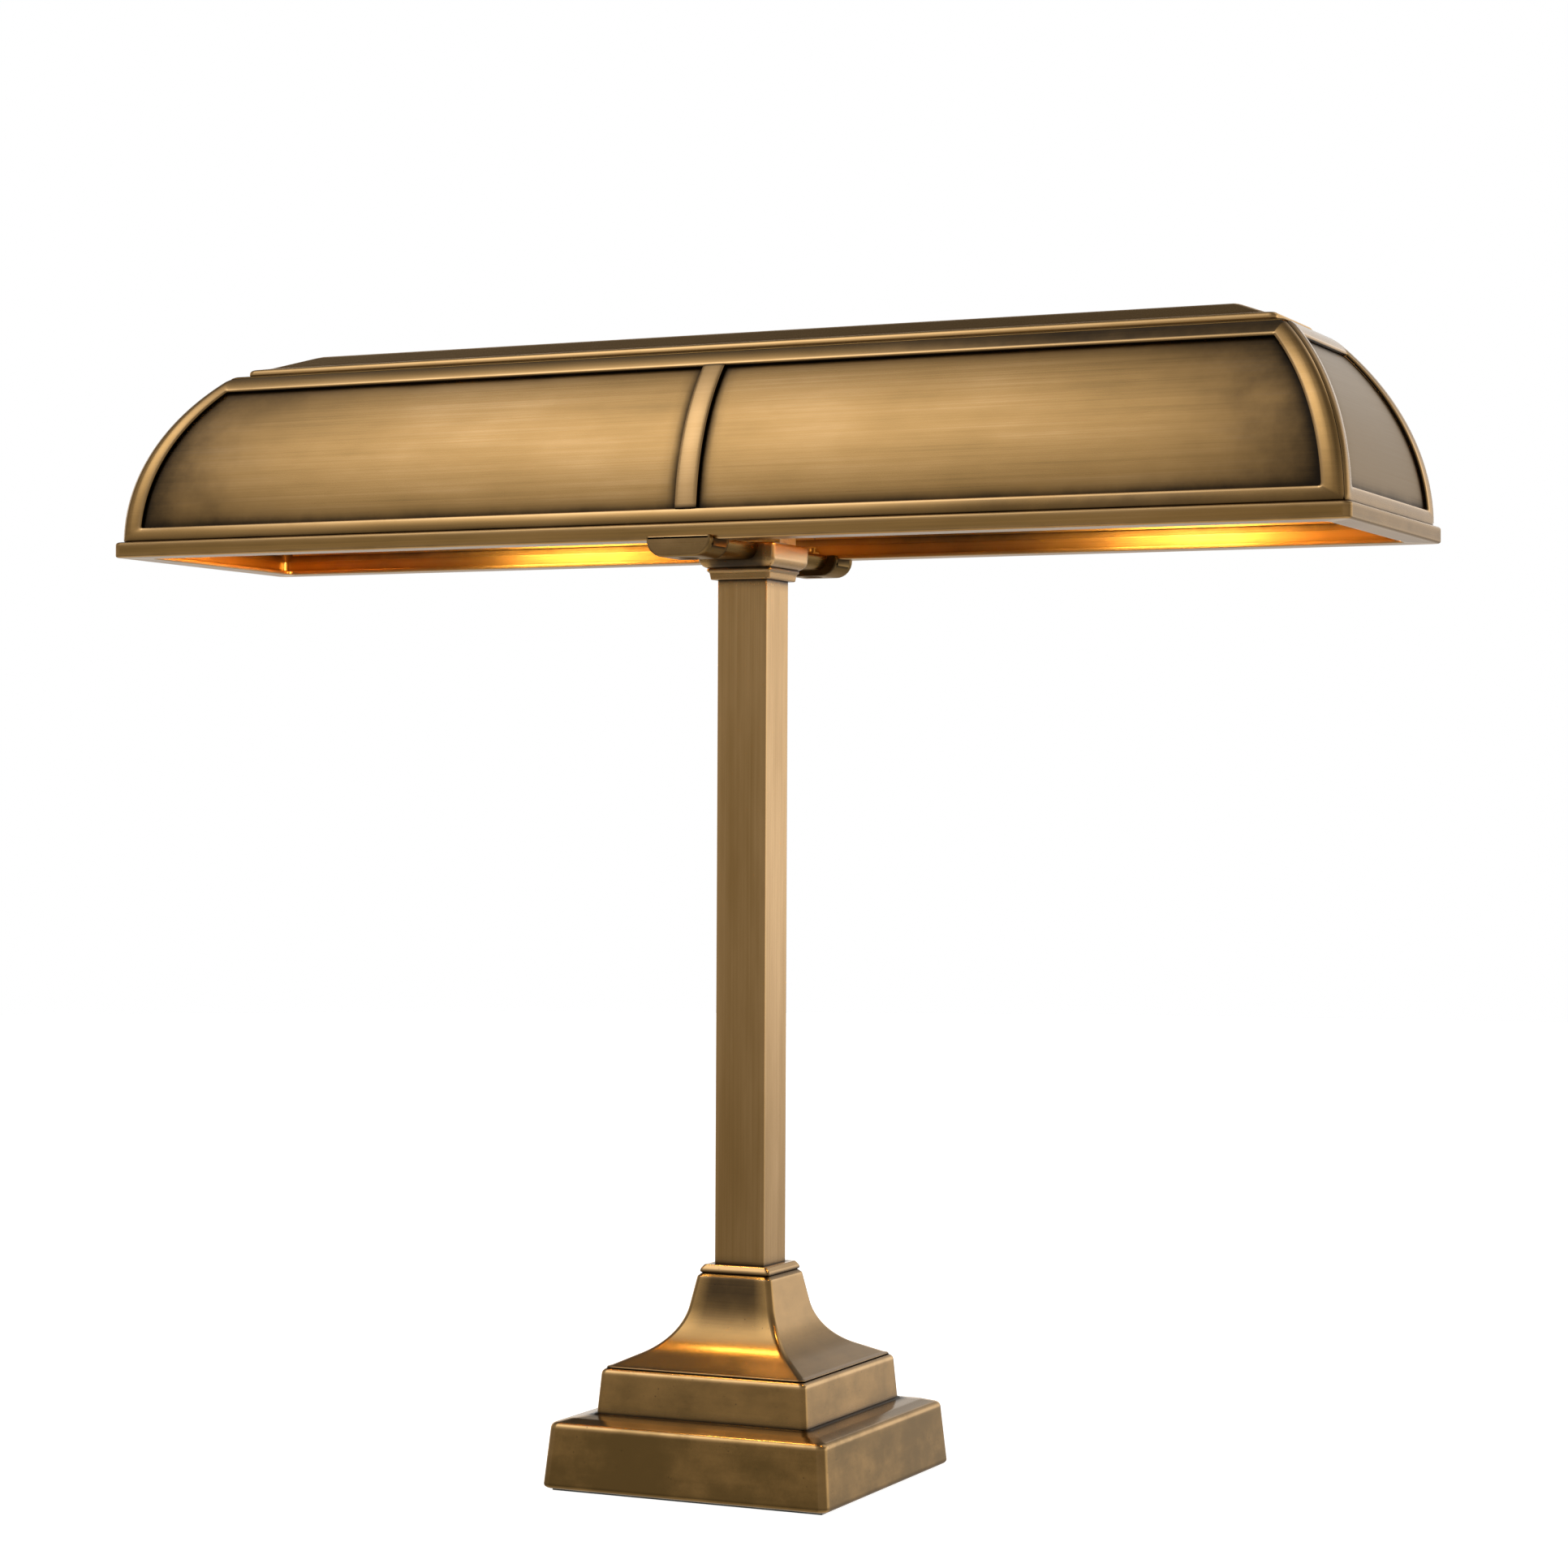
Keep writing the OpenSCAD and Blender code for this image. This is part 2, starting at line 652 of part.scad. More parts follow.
button_t = 1;
button_r = 2.2;
tip_r = 3.4;
cap_wall = 0.8;
cap_end_t = 2;
glass_wall = 0.9;
glass_neck_l = 9;
glass_neck_r = 6.6;
stem_r = 1.4;
stem_l = glass_l - 22;
disc_r = 6.2;
disc_t = 1;
disc_at = 16;
coil_at = 5;
coil_r = 0.9;

// Solder button and the disc under it, which meet the centre contact
module tip() color(STEEL) on_lamp_axis(tip_x) {
  cylinder(h = button_t, r = button_r);
  translate([0, 0, button_t]) cylinder(h = tip_t - button_t, r = tip_r);
}

module cap() color("#c9b27a") on_lamp_axis(cap_x + EPS) difference() {
  cylinder(h = cap_l - EPS, r = cap_r);
  translate([0, 0, cap_end_t]) cylinder(h = cap_l, r = cap_r - cap_wall);
}

// Outline of the tube, drawn as radius against length, taken in by t
module glass_outline(t) {
  dome_z = glass_l - glass_r;
  polygon([
    [0, t], [glass_neck_r - t, t], [glass_neck_r - t, 2], [glass_r - t, glass_neck_l],
    [glass_r - t, dome_z], [0, dome_z]
  ]);
  translate([0, dome_z]) intersection() {
    circle(glass_r - t);
    translate([0, -CUT]) square([glass_r, glass_r + CUT]);
  }
}

module glass() color("#fff4d8", 0.4) on_lamp_axis(glass_x) rotate_extrude() difference() {
  glass_outline(0);
  glass_outline(glass_wall);
}

// Glass stem with a disc near each end, which hold four straight filaments
module filament() color("#ffd36b") on_lamp_axis(glass_x + glass_wall + EPS) {
  disc_end = stem_l - 4;
  cylinder(h = stem_l, r = stem_r);
  for (z = [disc_at, disc_end]) translate([0, 0, z]) cylinder(h = disc_t, r = disc_r);
  for (a = [0:90:270]) rotate([0, 0, a]) translate([coil_at, 0, disc_at])
    cylinder(h = disc_end - disc_at, r = coil_r);
}

// ---- nodes ------------------------------------------------------------------

felt_pad();
bottom_plate();
base_weight();
plate_screws();
base_plinth();
base_riser();
base_cove();
base_collar();
column_tube();
capital_step();
capital_block();
arm_front();
arm_back();
flange_pads();
clamp_screws();
clamp_nuts();
threaded_rod();
rod_nuts();
rod_washers();
cord_bushing();
terminal_block();
shade_rim();
bottom_rail();
top_rail();
corner_stiles();
mullion_front();
mullion_back();
panel_front_left();
panel_front_right();
panel_back_left();
panel_back_right();
panel_end_left();
panel_end_right();
crown_plate();
crown_step();
crown_ridge();
holder_strap();
nipple_nuts();
side(-1) nipple();  // nipple_left
side(1) nipple();  // nipple_right
side(-1) holder();  // holder_left
side(1) holder();  // holder_right
side(-1) insert();  // insert_left
side(1) insert();  // insert_right
side(-1) sleeve();  // sleeve_left
side(1) sleeve();  // sleeve_right
side(-1) lead();  // lead_left
side(1) lead();  // lead_right
side(-1) tip();  // tip_left
side(1) tip();  // tip_right
side(-1) cap();  // cap_left
side(1) cap();  // cap_right
side(-1) filament();  // filament_left
side(1) filament();  // filament_right
side(-1) glass();  // glass_left
side(1) glass();  // glass_right
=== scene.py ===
"""Looks of the banker desk lamp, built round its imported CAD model."""

import math

import bmesh
import bpy
import numpy as np
from mathutils import Matrix, Vector


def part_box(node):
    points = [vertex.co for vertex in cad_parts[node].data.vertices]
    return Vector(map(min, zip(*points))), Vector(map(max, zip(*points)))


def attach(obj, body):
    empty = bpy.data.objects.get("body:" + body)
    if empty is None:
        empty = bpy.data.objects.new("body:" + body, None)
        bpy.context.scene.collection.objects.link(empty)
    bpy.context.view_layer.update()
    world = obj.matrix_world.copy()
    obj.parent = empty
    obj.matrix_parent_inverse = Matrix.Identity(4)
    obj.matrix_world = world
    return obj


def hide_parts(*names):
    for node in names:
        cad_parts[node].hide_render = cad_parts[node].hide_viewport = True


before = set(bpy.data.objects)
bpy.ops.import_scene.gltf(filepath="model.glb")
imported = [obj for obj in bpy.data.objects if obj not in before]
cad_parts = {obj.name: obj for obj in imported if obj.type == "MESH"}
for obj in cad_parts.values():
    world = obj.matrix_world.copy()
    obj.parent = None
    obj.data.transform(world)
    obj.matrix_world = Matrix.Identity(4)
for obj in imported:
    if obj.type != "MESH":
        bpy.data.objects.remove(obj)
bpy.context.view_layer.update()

MM = 0.001

# ---- sizes in millimetres, some of them read from the CAD nodes ----


def low(node, axis):
    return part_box(node)[0]["xyz".index(axis)] / MM


def high(node, axis):
    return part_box(node)[1]["xyz".index(axis)] / MM


SHADE_X = high("shade_rim", "x")
SHADE_Y = high("shade_rim", "y")
RIM_Z0 = low("shade_rim", "z")
RIM_Z1 = high("shade_rim", "z")
LEDGE = SHADE_Y - high("bottom_rail", "y")
MULLION_HALF = high("mullion_front", "x")
BOW_R = 111.5       # radius of the shade's bowed sides
STRIP_T = 2.0       # thickness of the frame's rails and stiles
PANEL_T = 1.2
LAP = 4.0           # how far a panel reaches behind the frame
LONG_STILE = 11.5
END_STILE = 10.5
WINDOW_R = 1.0      # corner radius of the frame's windows
HEAD_LIFT = 1.8     # how far up the bow a window reaches past the CAD's
FLANGE_W = 13.5     # how far the rim's flange turns in
NECK_HALF = 11.5    # half width of an arm's neck
NECK_LIFT = 2.5     # height of the neck's underside above the hook's

# ---- small maths ----


def unit(v):
    return v / np.linalg.norm(v)


def smooth(x, a, b):
    """0 below a, 1 above b and a soft step between."""
    t = np.clip((np.asarray(x, float) - a) / (b - a), 0, 1)
    return t * t * (3 - 2 * t)


def corner_arc(p, before, after, radius, steps=5):
    """Points of the arc that rounds the corner p between its neighbours."""
    a, b = unit(before - p), unit(after - p)
    half = math.acos(np.clip(a @ b, -1, 1)) / 2
    centre = p + unit(a + b) * radius / math.sin(half)
    start, end = p + a * radius / math.tan(half), p + b * radius / math.tan(half)
    u, v = unit(start - centre), unit(end - centre)
    turn = math.acos(np.clip(u @ v, -1, 1))
    share = np.linspace(0, 1, steps + 1)
    return [centre + radius * (math.sin((1 - f) * turn) * u + math.sin(f * turn) * v) / math.sin(turn)
            for f in share]


def outline(corners, spacing=4.0, wear_and_highlight_reach=0.9, grime_and_shade_reach=2.2):
    """Rounds and divides an open line of (width, height, radius, tone) corners.

    Tone above 0 is a bright edge, partly abrasion and partly a painted highlight; below 0 a dark
    corner, partly patina and partly painted shade. Gives rows of (width, height, bright edge, dark
    corner).
    """
    near, clear = 0.7, 2.0  # extra cuts beside each corner, which keep its tone close to it
    pts = [np.array(c[:2], float) for c in corners]
    line, marks = [], []
    for k, (_, _, radius, tone) in enumerate(corners):
        inner = 0 < k < len(corners) - 1
        arc = corner_arc(pts[k], pts[k - 1], pts[k + 1], radius) if radius and inner else [pts[k]]
        marks.append((len(line), len(line) + len(arc) - 1, tone))
        line += arc
    s = np.concatenate([[0], np.cumsum([np.linalg.norm(b - a) for a, b in zip(line, line[1:])])])
    cuts = set(s)
    for a, b in zip(s, s[1:]):
        if b - a > 1.6:
            cuts |= {a + near, b - near}
        if b - a > 5:
            count = max(1, round((b - a - 2 * clear) / spacing))
            cuts |= set(np.linspace(a + clear, b - clear, 1 + count))
    cuts = np.array(sorted(cuts))
    cuts = cuts[np.concatenate([[True], np.diff(cuts) > 1e-4])]
    width, height = (np.interp(cuts, s, values) for values in np.array(line).T)
    wear_and_highlight, grime_and_shade = np.zeros(len(cuts)), np.zeros(len(cuts))
    for first, last, tone in marks:
        away = np.maximum(0, np.maximum(s[first] - cuts, cuts - s[last]))
        if tone > 0:
            wear_and_highlight = np.maximum(wear_and_highlight, tone * np.exp(-away / wear_and_highlight_reach))
        else:
            grime_and_shade = np.maximum(grime_and_shade, -tone * np.exp(-away / grime_and_shade_reach))
    return np.column_stack([width, height, wear_and_highlight, grime_and_shade])


# ---- mesh building ----


def new_object(name, data):
    """A new object in the scene."""
    obj = bpy.data.objects.new(name, data)
    bpy.context.scene.collection.objects.link(obj)
    return obj


def read(items, field, width=1, kind=float):
    """One field of all vertices, loops or faces, a row for each."""
    values = np.zeros(len(items) * width, kind)
    items.foreach_get(field, values)
    return values.reshape(-1, width)


def add_grain_uv(mesh, upright=False):
    """UV map whose U runs along the brushing: level on the sides, or up them."""
    layer = mesh.uv_layers.new(name="grain")
    totals = read(mesh.polygons, "loop_total", kind=int)[:, 0]
    n = np.repeat(np.abs(read(mesh.polygons, "normal", 3)), totals, axis=0)
    p = read(mesh.vertices, "co", 3)[read(mesh.loops, "vertex_index", kind=int)[:, 0]]
    flat = n[:, 2] > 0.95
    along_y = (n[:, 0] > n[:, 1]) & ~flat
    across = np.where(along_y, p[:, 1], p[:, 0])
    rise = np.where(flat, p[:, 1], p[:, 2])
    uv = np.stack([rise, across] if upright else [across, rise], 1)
    layer.data.foreach_set("uv", uv.ravel())


def faces_inward(centre, normal):
    """True for the faces of the shade that look into it."""
    if abs(normal.z) > 0.9:
        return normal.z > 0 and centre.z < RIM_Z0 + 3
    if abs(normal.x) > abs(normal.y):
        return normal.x * centre.x < 0
    return normal.y * centre.y < 0


def piece(name, verts, faces, material, nodes=(), body="stand", slot="antique_brass",
          wear_and_highlight=None, grime_and_shade=None, sharp=42, upright=False, lining=None):
    """A new mesh piece from points in millimetres, which rides on a body and stands for CAD nodes."""
    mesh = bpy.data.meshes.new(name)
    mesh.from_pydata((np.asarray(verts) * MM).tolist(), [], [tuple(map(int, f)) for f in faces])
    # per point: bright edges (abrasion with painted highlight) and dark corners (patina with painted
    # shade)
    for label, values in (("wear_and_highlight", wear_and_highlight), ("grime_and_shade", grime_and_shade)):
        data = np.zeros(len(mesh.vertices)) if values is None else np.asarray(values, float)
        mesh.attributes.new(label, "FLOAT", "POINT").data.foreach_set("value", data.astype(np.float32))
    tidy = bmesh.new()
    tidy.from_mesh(mesh)
    bmesh.ops.remove_doubles(tidy, verts=tidy.verts, dist=2e-6)
    bmesh.ops.dissolve_degenerate(tidy, edges=tidy.edges, dist=1e-7)
    bmesh.ops.recalc_face_normals(tidy, faces=tidy.faces)
    tidy.to_mesh(mesh)
    tidy.free()
    add_grain_uv(mesh, upright)
    mesh.shade_smooth()
    mesh.set_sharp_from_angle(angle=math.radians(sharp))
    mesh.materials.append(material)
    if lining:
        mesh.materials.append(lining)
        for face in mesh.polygons:
            face.material_index = int(faces_inward(face.center / MM, face.normal))
    obj = new_object(name, mesh)
    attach(obj, body)
    if nodes:
        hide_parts(*nodes)
    return obj


def side_shares(length, spacing):
    """Shares along a straight side, close together near its two corners."""
    near = [d / length for d in (0.6, 1.5, 3.0) if d < length / 3]
    count = max(2, round((length - 8) / spacing))
    middle = np.linspace(4 / length, 1 - 4 / length, count + 1) if length > 12 else [0.5]
    return sorted([*near, *middle, *(1 - f for f in near)])


def ring_faces(rings, n, closed=False):
    """Faces between rings of n points, with end caps unless the last ring joins the first."""
    faces = []
    for j in range(rings if closed else rings - 1):
        a, b = j * n, (j + 1) % rings * n
        faces += [(a + i, a + (i + 1) % n, b + (i + 1) % n, b + i) for i in range(n)]
    if not closed:
        faces += [tuple(range(n))[::-1], tuple(range((rings - 1) * n, rings * n))]
    return faces


def sweep(rows, half=(0, 0), corner_r=1.6, spacing=14, closed=False, wear_and_highlight_reach=0.9, edge_wear_and_highlight=0.8):
    """Runs an outline round a rounded rectangle. Widths count outwards from the half sizes."""
    signs = ((1, -1), (1, 1), (-1, 1), (-1, -1))
    mean = float(np.mean(rows[:, 0]))
    verts, wear_and_highlight, grime_and_shade = [], [], []
    for w, z, row_wear_and_highlight, row_grime_and_shade in rows:
        hx, hy = half[0] + w, half[1] + w
        r = min(corner_r, 0.6 * min(hx, hy))

        def on_corner(k, degrees):
            a = math.radians(degrees)
            return np.array(signs[k % 4]) * (hx - r, hy - r) + r * np.array([math.cos(a), math.sin(a)])

        ring, away = [], []
        for k in range(4):
            ring += [on_corner(k, 90 * k - back) for back in (90, 72, 54, 36, 18, 0)]
            away += [0] * 6
            start, end = ring[-1], on_corner(k + 1, 90 * k)
            nominal = 2 * ((half[1] if k % 2 == 0 else half[0]) + mean - corner_r)
            length = np.linalg.norm(end - start)
            for f in side_shares(nominal, spacing):
                ring.append(start + f * (end - start))
                away.append(min(f, 1 - f) * length)
        verts += [(x, y, z) for x, y in ring]
        # bright upright corners: abrasion with a painted highlight, weaker where the row is dark
        upright = edge_wear_and_highlight * np.exp(-np.array(away) / wear_and_highlight_reach) * (1 - 0.8 * row_grime_and_shade)
        wear_and_highlight += list(np.maximum(row_wear_and_highlight, upright))
        grime_and_shade += [row_grime_and_shade] * len(ring)
    return verts, ring_faces(len(rows), len(ring), closed), wear_and_highlight, grime_and_shade


def moulding(name, corners, material, corner_r=1.6, spacing=14, edge_wear_and_highlight=0.6, **options):
    """Square moulding about the column's axis from its outline's corners."""
    verts, faces, wear_and_highlight, grime_and_shade = sweep(outline(corners), (0, 0), corner_r, spacing, edge_wear_and_highlight=edge_wear_and_highlight)
    return piece(name, verts, faces, material, [name], wear_and_highlight=wear_and_highlight, grime_and_shade=grime_and_shade, **options)


def turned(name, rows, x0, direction, height, material, nodes, body, slot, segments=72, thread=None):
    """A piece turned about the lamps' axis from (along, radius) rows. thread adds a screw thread."""
    verts, n = [], segments
    for along, radius in rows:
        for i in range(n):
            a = 2 * math.pi * i / n
            r = radius
            if thread and thread["from"] <= along <= thread["to"]:
                phase = along / thread["pitch"] - direction * a / (2 * math.pi)
                r += thread["depth"] * (math.cos(2 * math.pi * phase) - 1) / 2
            verts.append((x0 + direction * along, r * math.cos(a), height + r * math.sin(a)))
    return piece(name, verts, ring_faces(len(rows), n), material, nodes, body, slot)


# ---- materials ----


class Graph:
    """Thin wrapper that adds shader nodes to a material or world."""

    def __init__(self, owner):
        owner.use_nodes = True
        self.tree = owner.node_tree
        self.tree.nodes.clear()

    def add(self, kind, inputs=None, **settings):
        n = self.tree.nodes.new(kind)
        for key, value in settings.items():
            setattr(n, key, value)
        for key, value in (inputs or {}).items():
            if isinstance(value, bpy.types.NodeSocket):
                self.tree.links.new(value, n.inputs[key])
            else:
                n.inputs[key].default_value = value
        return n

    def math(self, operation, a, b=0.0, c=0.0):
        return self.add("ShaderNodeMath", {0: a, 1: b, 2: c}, operation=operation).outputs[0]

    def times(self, a, b, plus=None):
        """The product of a and b, with plus added to it if there is one."""
        if plus is None:
            return self.math("MULTIPLY", a, b)
        return self.math("MULTIPLY_ADD", a, b, plus)

    def mix(self, share, a, b):
        return self.add("ShaderNodeMix", {0: share, 6: a, 7: b}, data_type="RGBA").outputs[2]

    def remap(self, value, a, b, c=0.0, d=1.0, kind="SMOOTHSTEP"):
        """c below a, d above b and a soft step between, or a straight one."""
        return self.add("ShaderNodeMapRange", {0: value, 1: a, 2: b, 3: c, 4: d},
                        interpolation_type=kind).outputs[0]

    def noise(self, at, scale, detail=3.0, roughness=0.55, distortion=0.0, stretch=(1, 1, 1)):
        placed = self.add("ShaderNodeMapping", {"Vector": at, "Scale": stretch}).outputs[0]
        return self.add("ShaderNodeTexNoise", {
            "Vector": placed, "Scale": scale, "Detail": detail, "Roughness": roughness,
            "Distortion": distortion}).outputs[0]

    def attribute(self, name):
        return self.add("ShaderNodeAttribute", attribute_name=name).outputs["Fac"]

    def object_point(self):
        return self.add("ShaderNodeTexCoord").outputs["Object"]

    def principled(self, sockets):
        self.finish(self.add("ShaderNodeBsdfPrincipled", sockets))

    def finish(self, shader, kind="ShaderNodeOutputMaterial"):
        self.add(kind, {"Surface": shader.outputs[0]})


def material(name):
    made = bpy.data.materials.new(name)
    return made, Graph(made)


BRASS_BRIGHT = (0.76, 0.48, 0.215, 1)
BRASS_MID = (0.52, 0.305, 0.105, 1)
BRASS_OLIVE = (0.25, 0.150, 0.048, 1)
# darkest brass: patina, painted shade and the pits of castings
PATINA_AND_SHADE = (0.028, 0.017, 0.008, 1)


def brass_waves(g, p, upright):
    """Brushed hairs, bands and drifts along the grain, and blotches and grit in any direction."""
    hair = g.noise(p, 1, 3, 0.65, 0.0, (1300, 1300, 7) if upright else (7, 7, 1300))
    band = g.noise(p, 1, 3, 0.6, 0.4, (150, 150, 4) if upright else (5, 5, 260))
    drift = g.noise(p, 1, 4, 0.55, 0.0, (50, 50, 9) if upright else (12, 16, 34))
    blotch = g.noise(p, 48, 5, 0.6)
    grit = g.noise(p, 1100, 2, 0.7)
    return hair, band, drift, blotch, grit


def patina_and_shade_share(g, grime_and_shade, blotch, hair):
    """Share of patina and painted shade, with a ragged edge where it ends."""
    ragged = g.times(blotch, 0.4, g.times(hair, 0.16, -0.28))
    ragged = g.math("ADD", grime_and_shade, g.times(ragged, g.remap(grime_and_shade, 0.02, 0.5)))
    return g.remap(ragged, 0.08, 0.95)


def pitted(g, p, colour):
    """A casting's colour with small dark pits in some places."""
    pits = g.add("ShaderNodeTexVoronoi", {"Vector": p, "Scale": 330.0, "Randomness": 1.0})
    pit = g.remap(pits.outputs["Distance"], 0.05, 0.14, 1.0, 0.0)
    pit = g.times(pit, g.remap(g.noise(p, 70, 2), 0.50, 0.62))
    return g.mix(g.times(pit, 0.75), colour, PATINA_AND_SHADE)


def antique_brass(name, upright=False, streak=1.0, cloud=0.6, cast=0.0, dark=0.0, roughness=0.25,
                  relief=1.0, coat=0.35, metal=1.0, edge_tint=(1, 1, 1, 1)):
    """Brushed brass under clear lacquer, dark in its corners with patina and painted shade, and bright
    on its edges with abrasion and painted highlights.

    streak is the contrast of the brushing, cloud of the soft drifts, cast of a casting's pits
    and blotches, dark lowers the whole tone, and edge_tint is the colour of grazing reflections.
    """
    made, g = material(name)
    p = g.object_point()
    hair, band, drift, blotch, grit = brass_waves(g, p, upright)
    wear_and_highlight = g.attribute("wear_and_highlight")
    grime_and_shade = g.attribute("grime_and_shade")
    tone = 0.52 - dark
    for wave, strength in ((hair, 0.75 * streak), (band, 0.45 * streak), (drift, 1.5 * cloud),
                           (blotch, 1.8 * cast), (grit, 0.35 * cast)):
        if strength:
            centred = g.times(wave, strength, -0.5 * strength)
            tone = g.math("ADD", centred, tone)
    colour = g.mix(g.remap(tone, 0.0, 0.55), BRASS_OLIVE, BRASS_MID)
    colour = g.mix(g.remap(tone, 0.45, 1.0), colour, BRASS_BRIGHT)
    # bright edges, abrasion with painted highlights, broken up by blotches
    broken = g.times(wear_and_highlight, g.remap(blotch, 0.3, 0.6, 0.7, 1.0))
    colour = g.mix(g.remap(broken, 0.1, 0.9, 0.0, 0.9), colour, BRASS_BRIGHT)
    # patina with painted shade in the corners
    patina_and_shade = patina_and_shade_share(g, grime_and_shade, blotch, hair)
    colour = g.mix(patina_and_shade, colour, PATINA_AND_SHADE)
    if cast:
        colour = pitted(g, p, colour)
    rough = g.times(hair, 0.08, roughness - 0.04)
    rough = g.times(patina_and_shade, 0.20, rough)
    rough = g.times(broken, -0.06, rough)
    height = g.times(hair, 0.5, g.times(blotch, 3.0 * cast))
    height = g.times(grit, cast, height)
    bump = g.add("ShaderNodeBump", {"Height": height, "Strength": 0.25 * relief, "Distance": 0.00006})
    tangent = g.add("ShaderNodeTangent", direction_type="UV_MAP", uv_map="grain")
    g.principled({
        "Base Color": colour, "Metallic": metal, "Roughness": rough, "Normal": bump.outputs[0],
        "Specular Tint": edge_tint, "Anisotropic": 0.5, "Anisotropic Rotation": 0.25,
        "Tangent": tangent.outputs[0],
        "Coat Weight": coat, "Coat Roughness": 0.16, "Coat IOR": 1.5})
    return made


def plain(name, colour, metallic, roughness, scale, contrast=0.3, bump=0.3, depth=0.05, **sockets):
    """A material with speckled tone and a fine surface relief. depth is in millimetres."""
    made, g = material(name)
    p = g.object_point()
    fleck = g.noise(p, scale, 4, 0.65)
    cloud = g.noise(p, scale / 12, 3)
    tone = g.times(cloud, 0.5, g.times(fleck, 0.5))
    dark = tuple(c * (1 - contrast) for c in colour[:3]) + (1,)
    light = tuple(min(1, c * (1 + contrast)) for c in colour[:3]) + (1,)
    shade = g.mix(g.remap(tone, 0.3, 0.7), dark, light)
    rough = g.remap(fleck, 0.2, 0.8, max(0, roughness - 0.08), min(1, roughness + 0.08), "LINEAR")
    relief = g.add("ShaderNodeBump", {"Height": fleck, "Strength": bump, "Distance": depth * MM})
    g.principled({
        "Base Color": shade, "Metallic": metallic, "Roughness": rough,
        "Normal": relief.outputs[0], **sockets})
    return made


def lamp_glass():
    """Thin clear glass: what lies behind shows straight through, with a gloss on top."""
    made, g = material("clear_glass")
    gloss = g.add("ShaderNodeLayerWeight", {"Blend": 0.25}).outputs["Fresnel"]
    dust = g.noise(g.object_point(), 180, 3)
    share = g.times(dust, 0.04, g.times(gloss, 0.85))
    clear = g.add("ShaderNodeBsdfTransparent", {"Color": (0.97, 0.96, 0.93, 1)})
    shine = g.add("ShaderNodeBsdfGlossy", {"Color": (1, 1, 1, 1), "Roughness": 0.03})
    both = g.add("ShaderNodeMixShader", {0: share, 1: clear.outputs[0], 2: shine.outputs[0]})
    g.finish(both)
    return made


def glowing(name, colour, strength):
    made, g = material(name)
    wave = g.noise(g.object_point(), 900, 2)
    power = g.remap(wave, 0.2, 0.8, 0.8 * strength, 1.2 * strength, "LINEAR")
    g.finish(g.add("ShaderNodeEmission", {"Color": colour, "Strength": power}))
    return made


WARM_EDGE = (1.0, 0.84, 0.66, 1)
SOFT_EDGE = (1.0, 0.88, 0.70, 1)

# every brass surface's own look
BRASS_LOOKS = {
    "panel": dict(streak=0.75, cloud=0.55, roughness=0.27, relief=0.6),
    "end": dict(streak=0.3, cloud=0.25, dark=0.52, roughness=0.32, relief=0.3, coat=0.0),
    "frame": dict(streak=0.4, cloud=0.5, dark=-0.02, roughness=0.22),
    "mullion": dict(streak=0.4, cloud=0.4, dark=-0.30, roughness=0.25),
    "rim": dict(streak=0.6, cloud=0.4, dark=0.07, roughness=0.24, coat=0.05),
    "inner": dict(streak=0.6, cloud=0.7, dark=0.10, roughness=0.34, relief=0.3),
    "plinth": dict(streak=0.1, cloud=0.8, cast=0.36, dark=0.40, roughness=0.22, relief=0.08,
                   coat=0.12),
    "riser": dict(streak=0.1, cloud=0.8, cast=0.36, dark=0.08, roughness=0.23, relief=0.2),
    "cove": dict(streak=0.12, cloud=0.5, cast=0.14, dark=0.15, roughness=0.23, relief=0.06),
    "capital": dict(streak=0.15, cloud=0.5, cast=0.30, dark=-0.10, roughness=0.25, relief=0.4,
                    metal=0.94),
    "arm": dict(streak=0.15, cloud=0.4, cast=0.34, dark=0.50, roughness=0.27, relief=0.5, coat=0.0,
                edge_tint=WARM_EDGE),
    "tube": dict(upright=True, streak=0.6, cloud=0.5, dark=-0.16, roughness=0.22),
    "crown": dict(streak=0.15, cloud=0.4, dark=0.04, roughness=0.26, relief=0.4, coat=0.0,
                  edge_tint=SOFT_EDGE)}
BRASS = {name: antique_brass(name + "_brass", **look) for name, look in BRASS_LOOKS.items()}

# ---- base and column ----


def build_base():
    """Plinth, riser, pedestal and collar: each is an outline run round the column."""
    plinth_w, plinth_z = high("base_plinth", "y"), low("base_plinth", "z")
    moulding("base_plinth", [
        (60, plinth_z, 0, -0.5), (plinth_w, plinth_z, 2.0, 0.2), (69.4, 30.9, 2.6, 0.6),
        (62.5, 32.9, 8.0, 0), (55.2, 33.9, 1.0, -0.8), (54.4, 34.5, 0, -1)],
        BRASS["plinth"], 3.6, edge_wear_and_highlight=0.4)
    riser_w, riser_top = high("base_riser", "y"), high("base_riser", "z")
    moulding("base_riser", [
        (riser_w + 0.2, low("base_riser", "z") - 0.2, 0, -1), (riser_w - 1.5, riser_top, 2.4, 0.7),
        (50.4, riser_top, 0, -0.9), (40, riser_top, 0, 0)],
        BRASS["riser"], 2.4, edge_wear_and_highlight=0.25)
    build_cove()
    foot, top, collar_w = low("base_collar", "z"), 101.1, high("base_collar", "y")
    moulding("base_collar", [
        (17.0, foot, 0, -1), (collar_w + 0.1, foot, 0.9, 0.5), (17.6, foot + 2.0, 0.9, 0.8),
        (16.3, top, 1.0, 0.9), (12.9, top, 0, -0.9), (10, top, 0, 0)],
        BRASS["cove"], 1.4, 8)


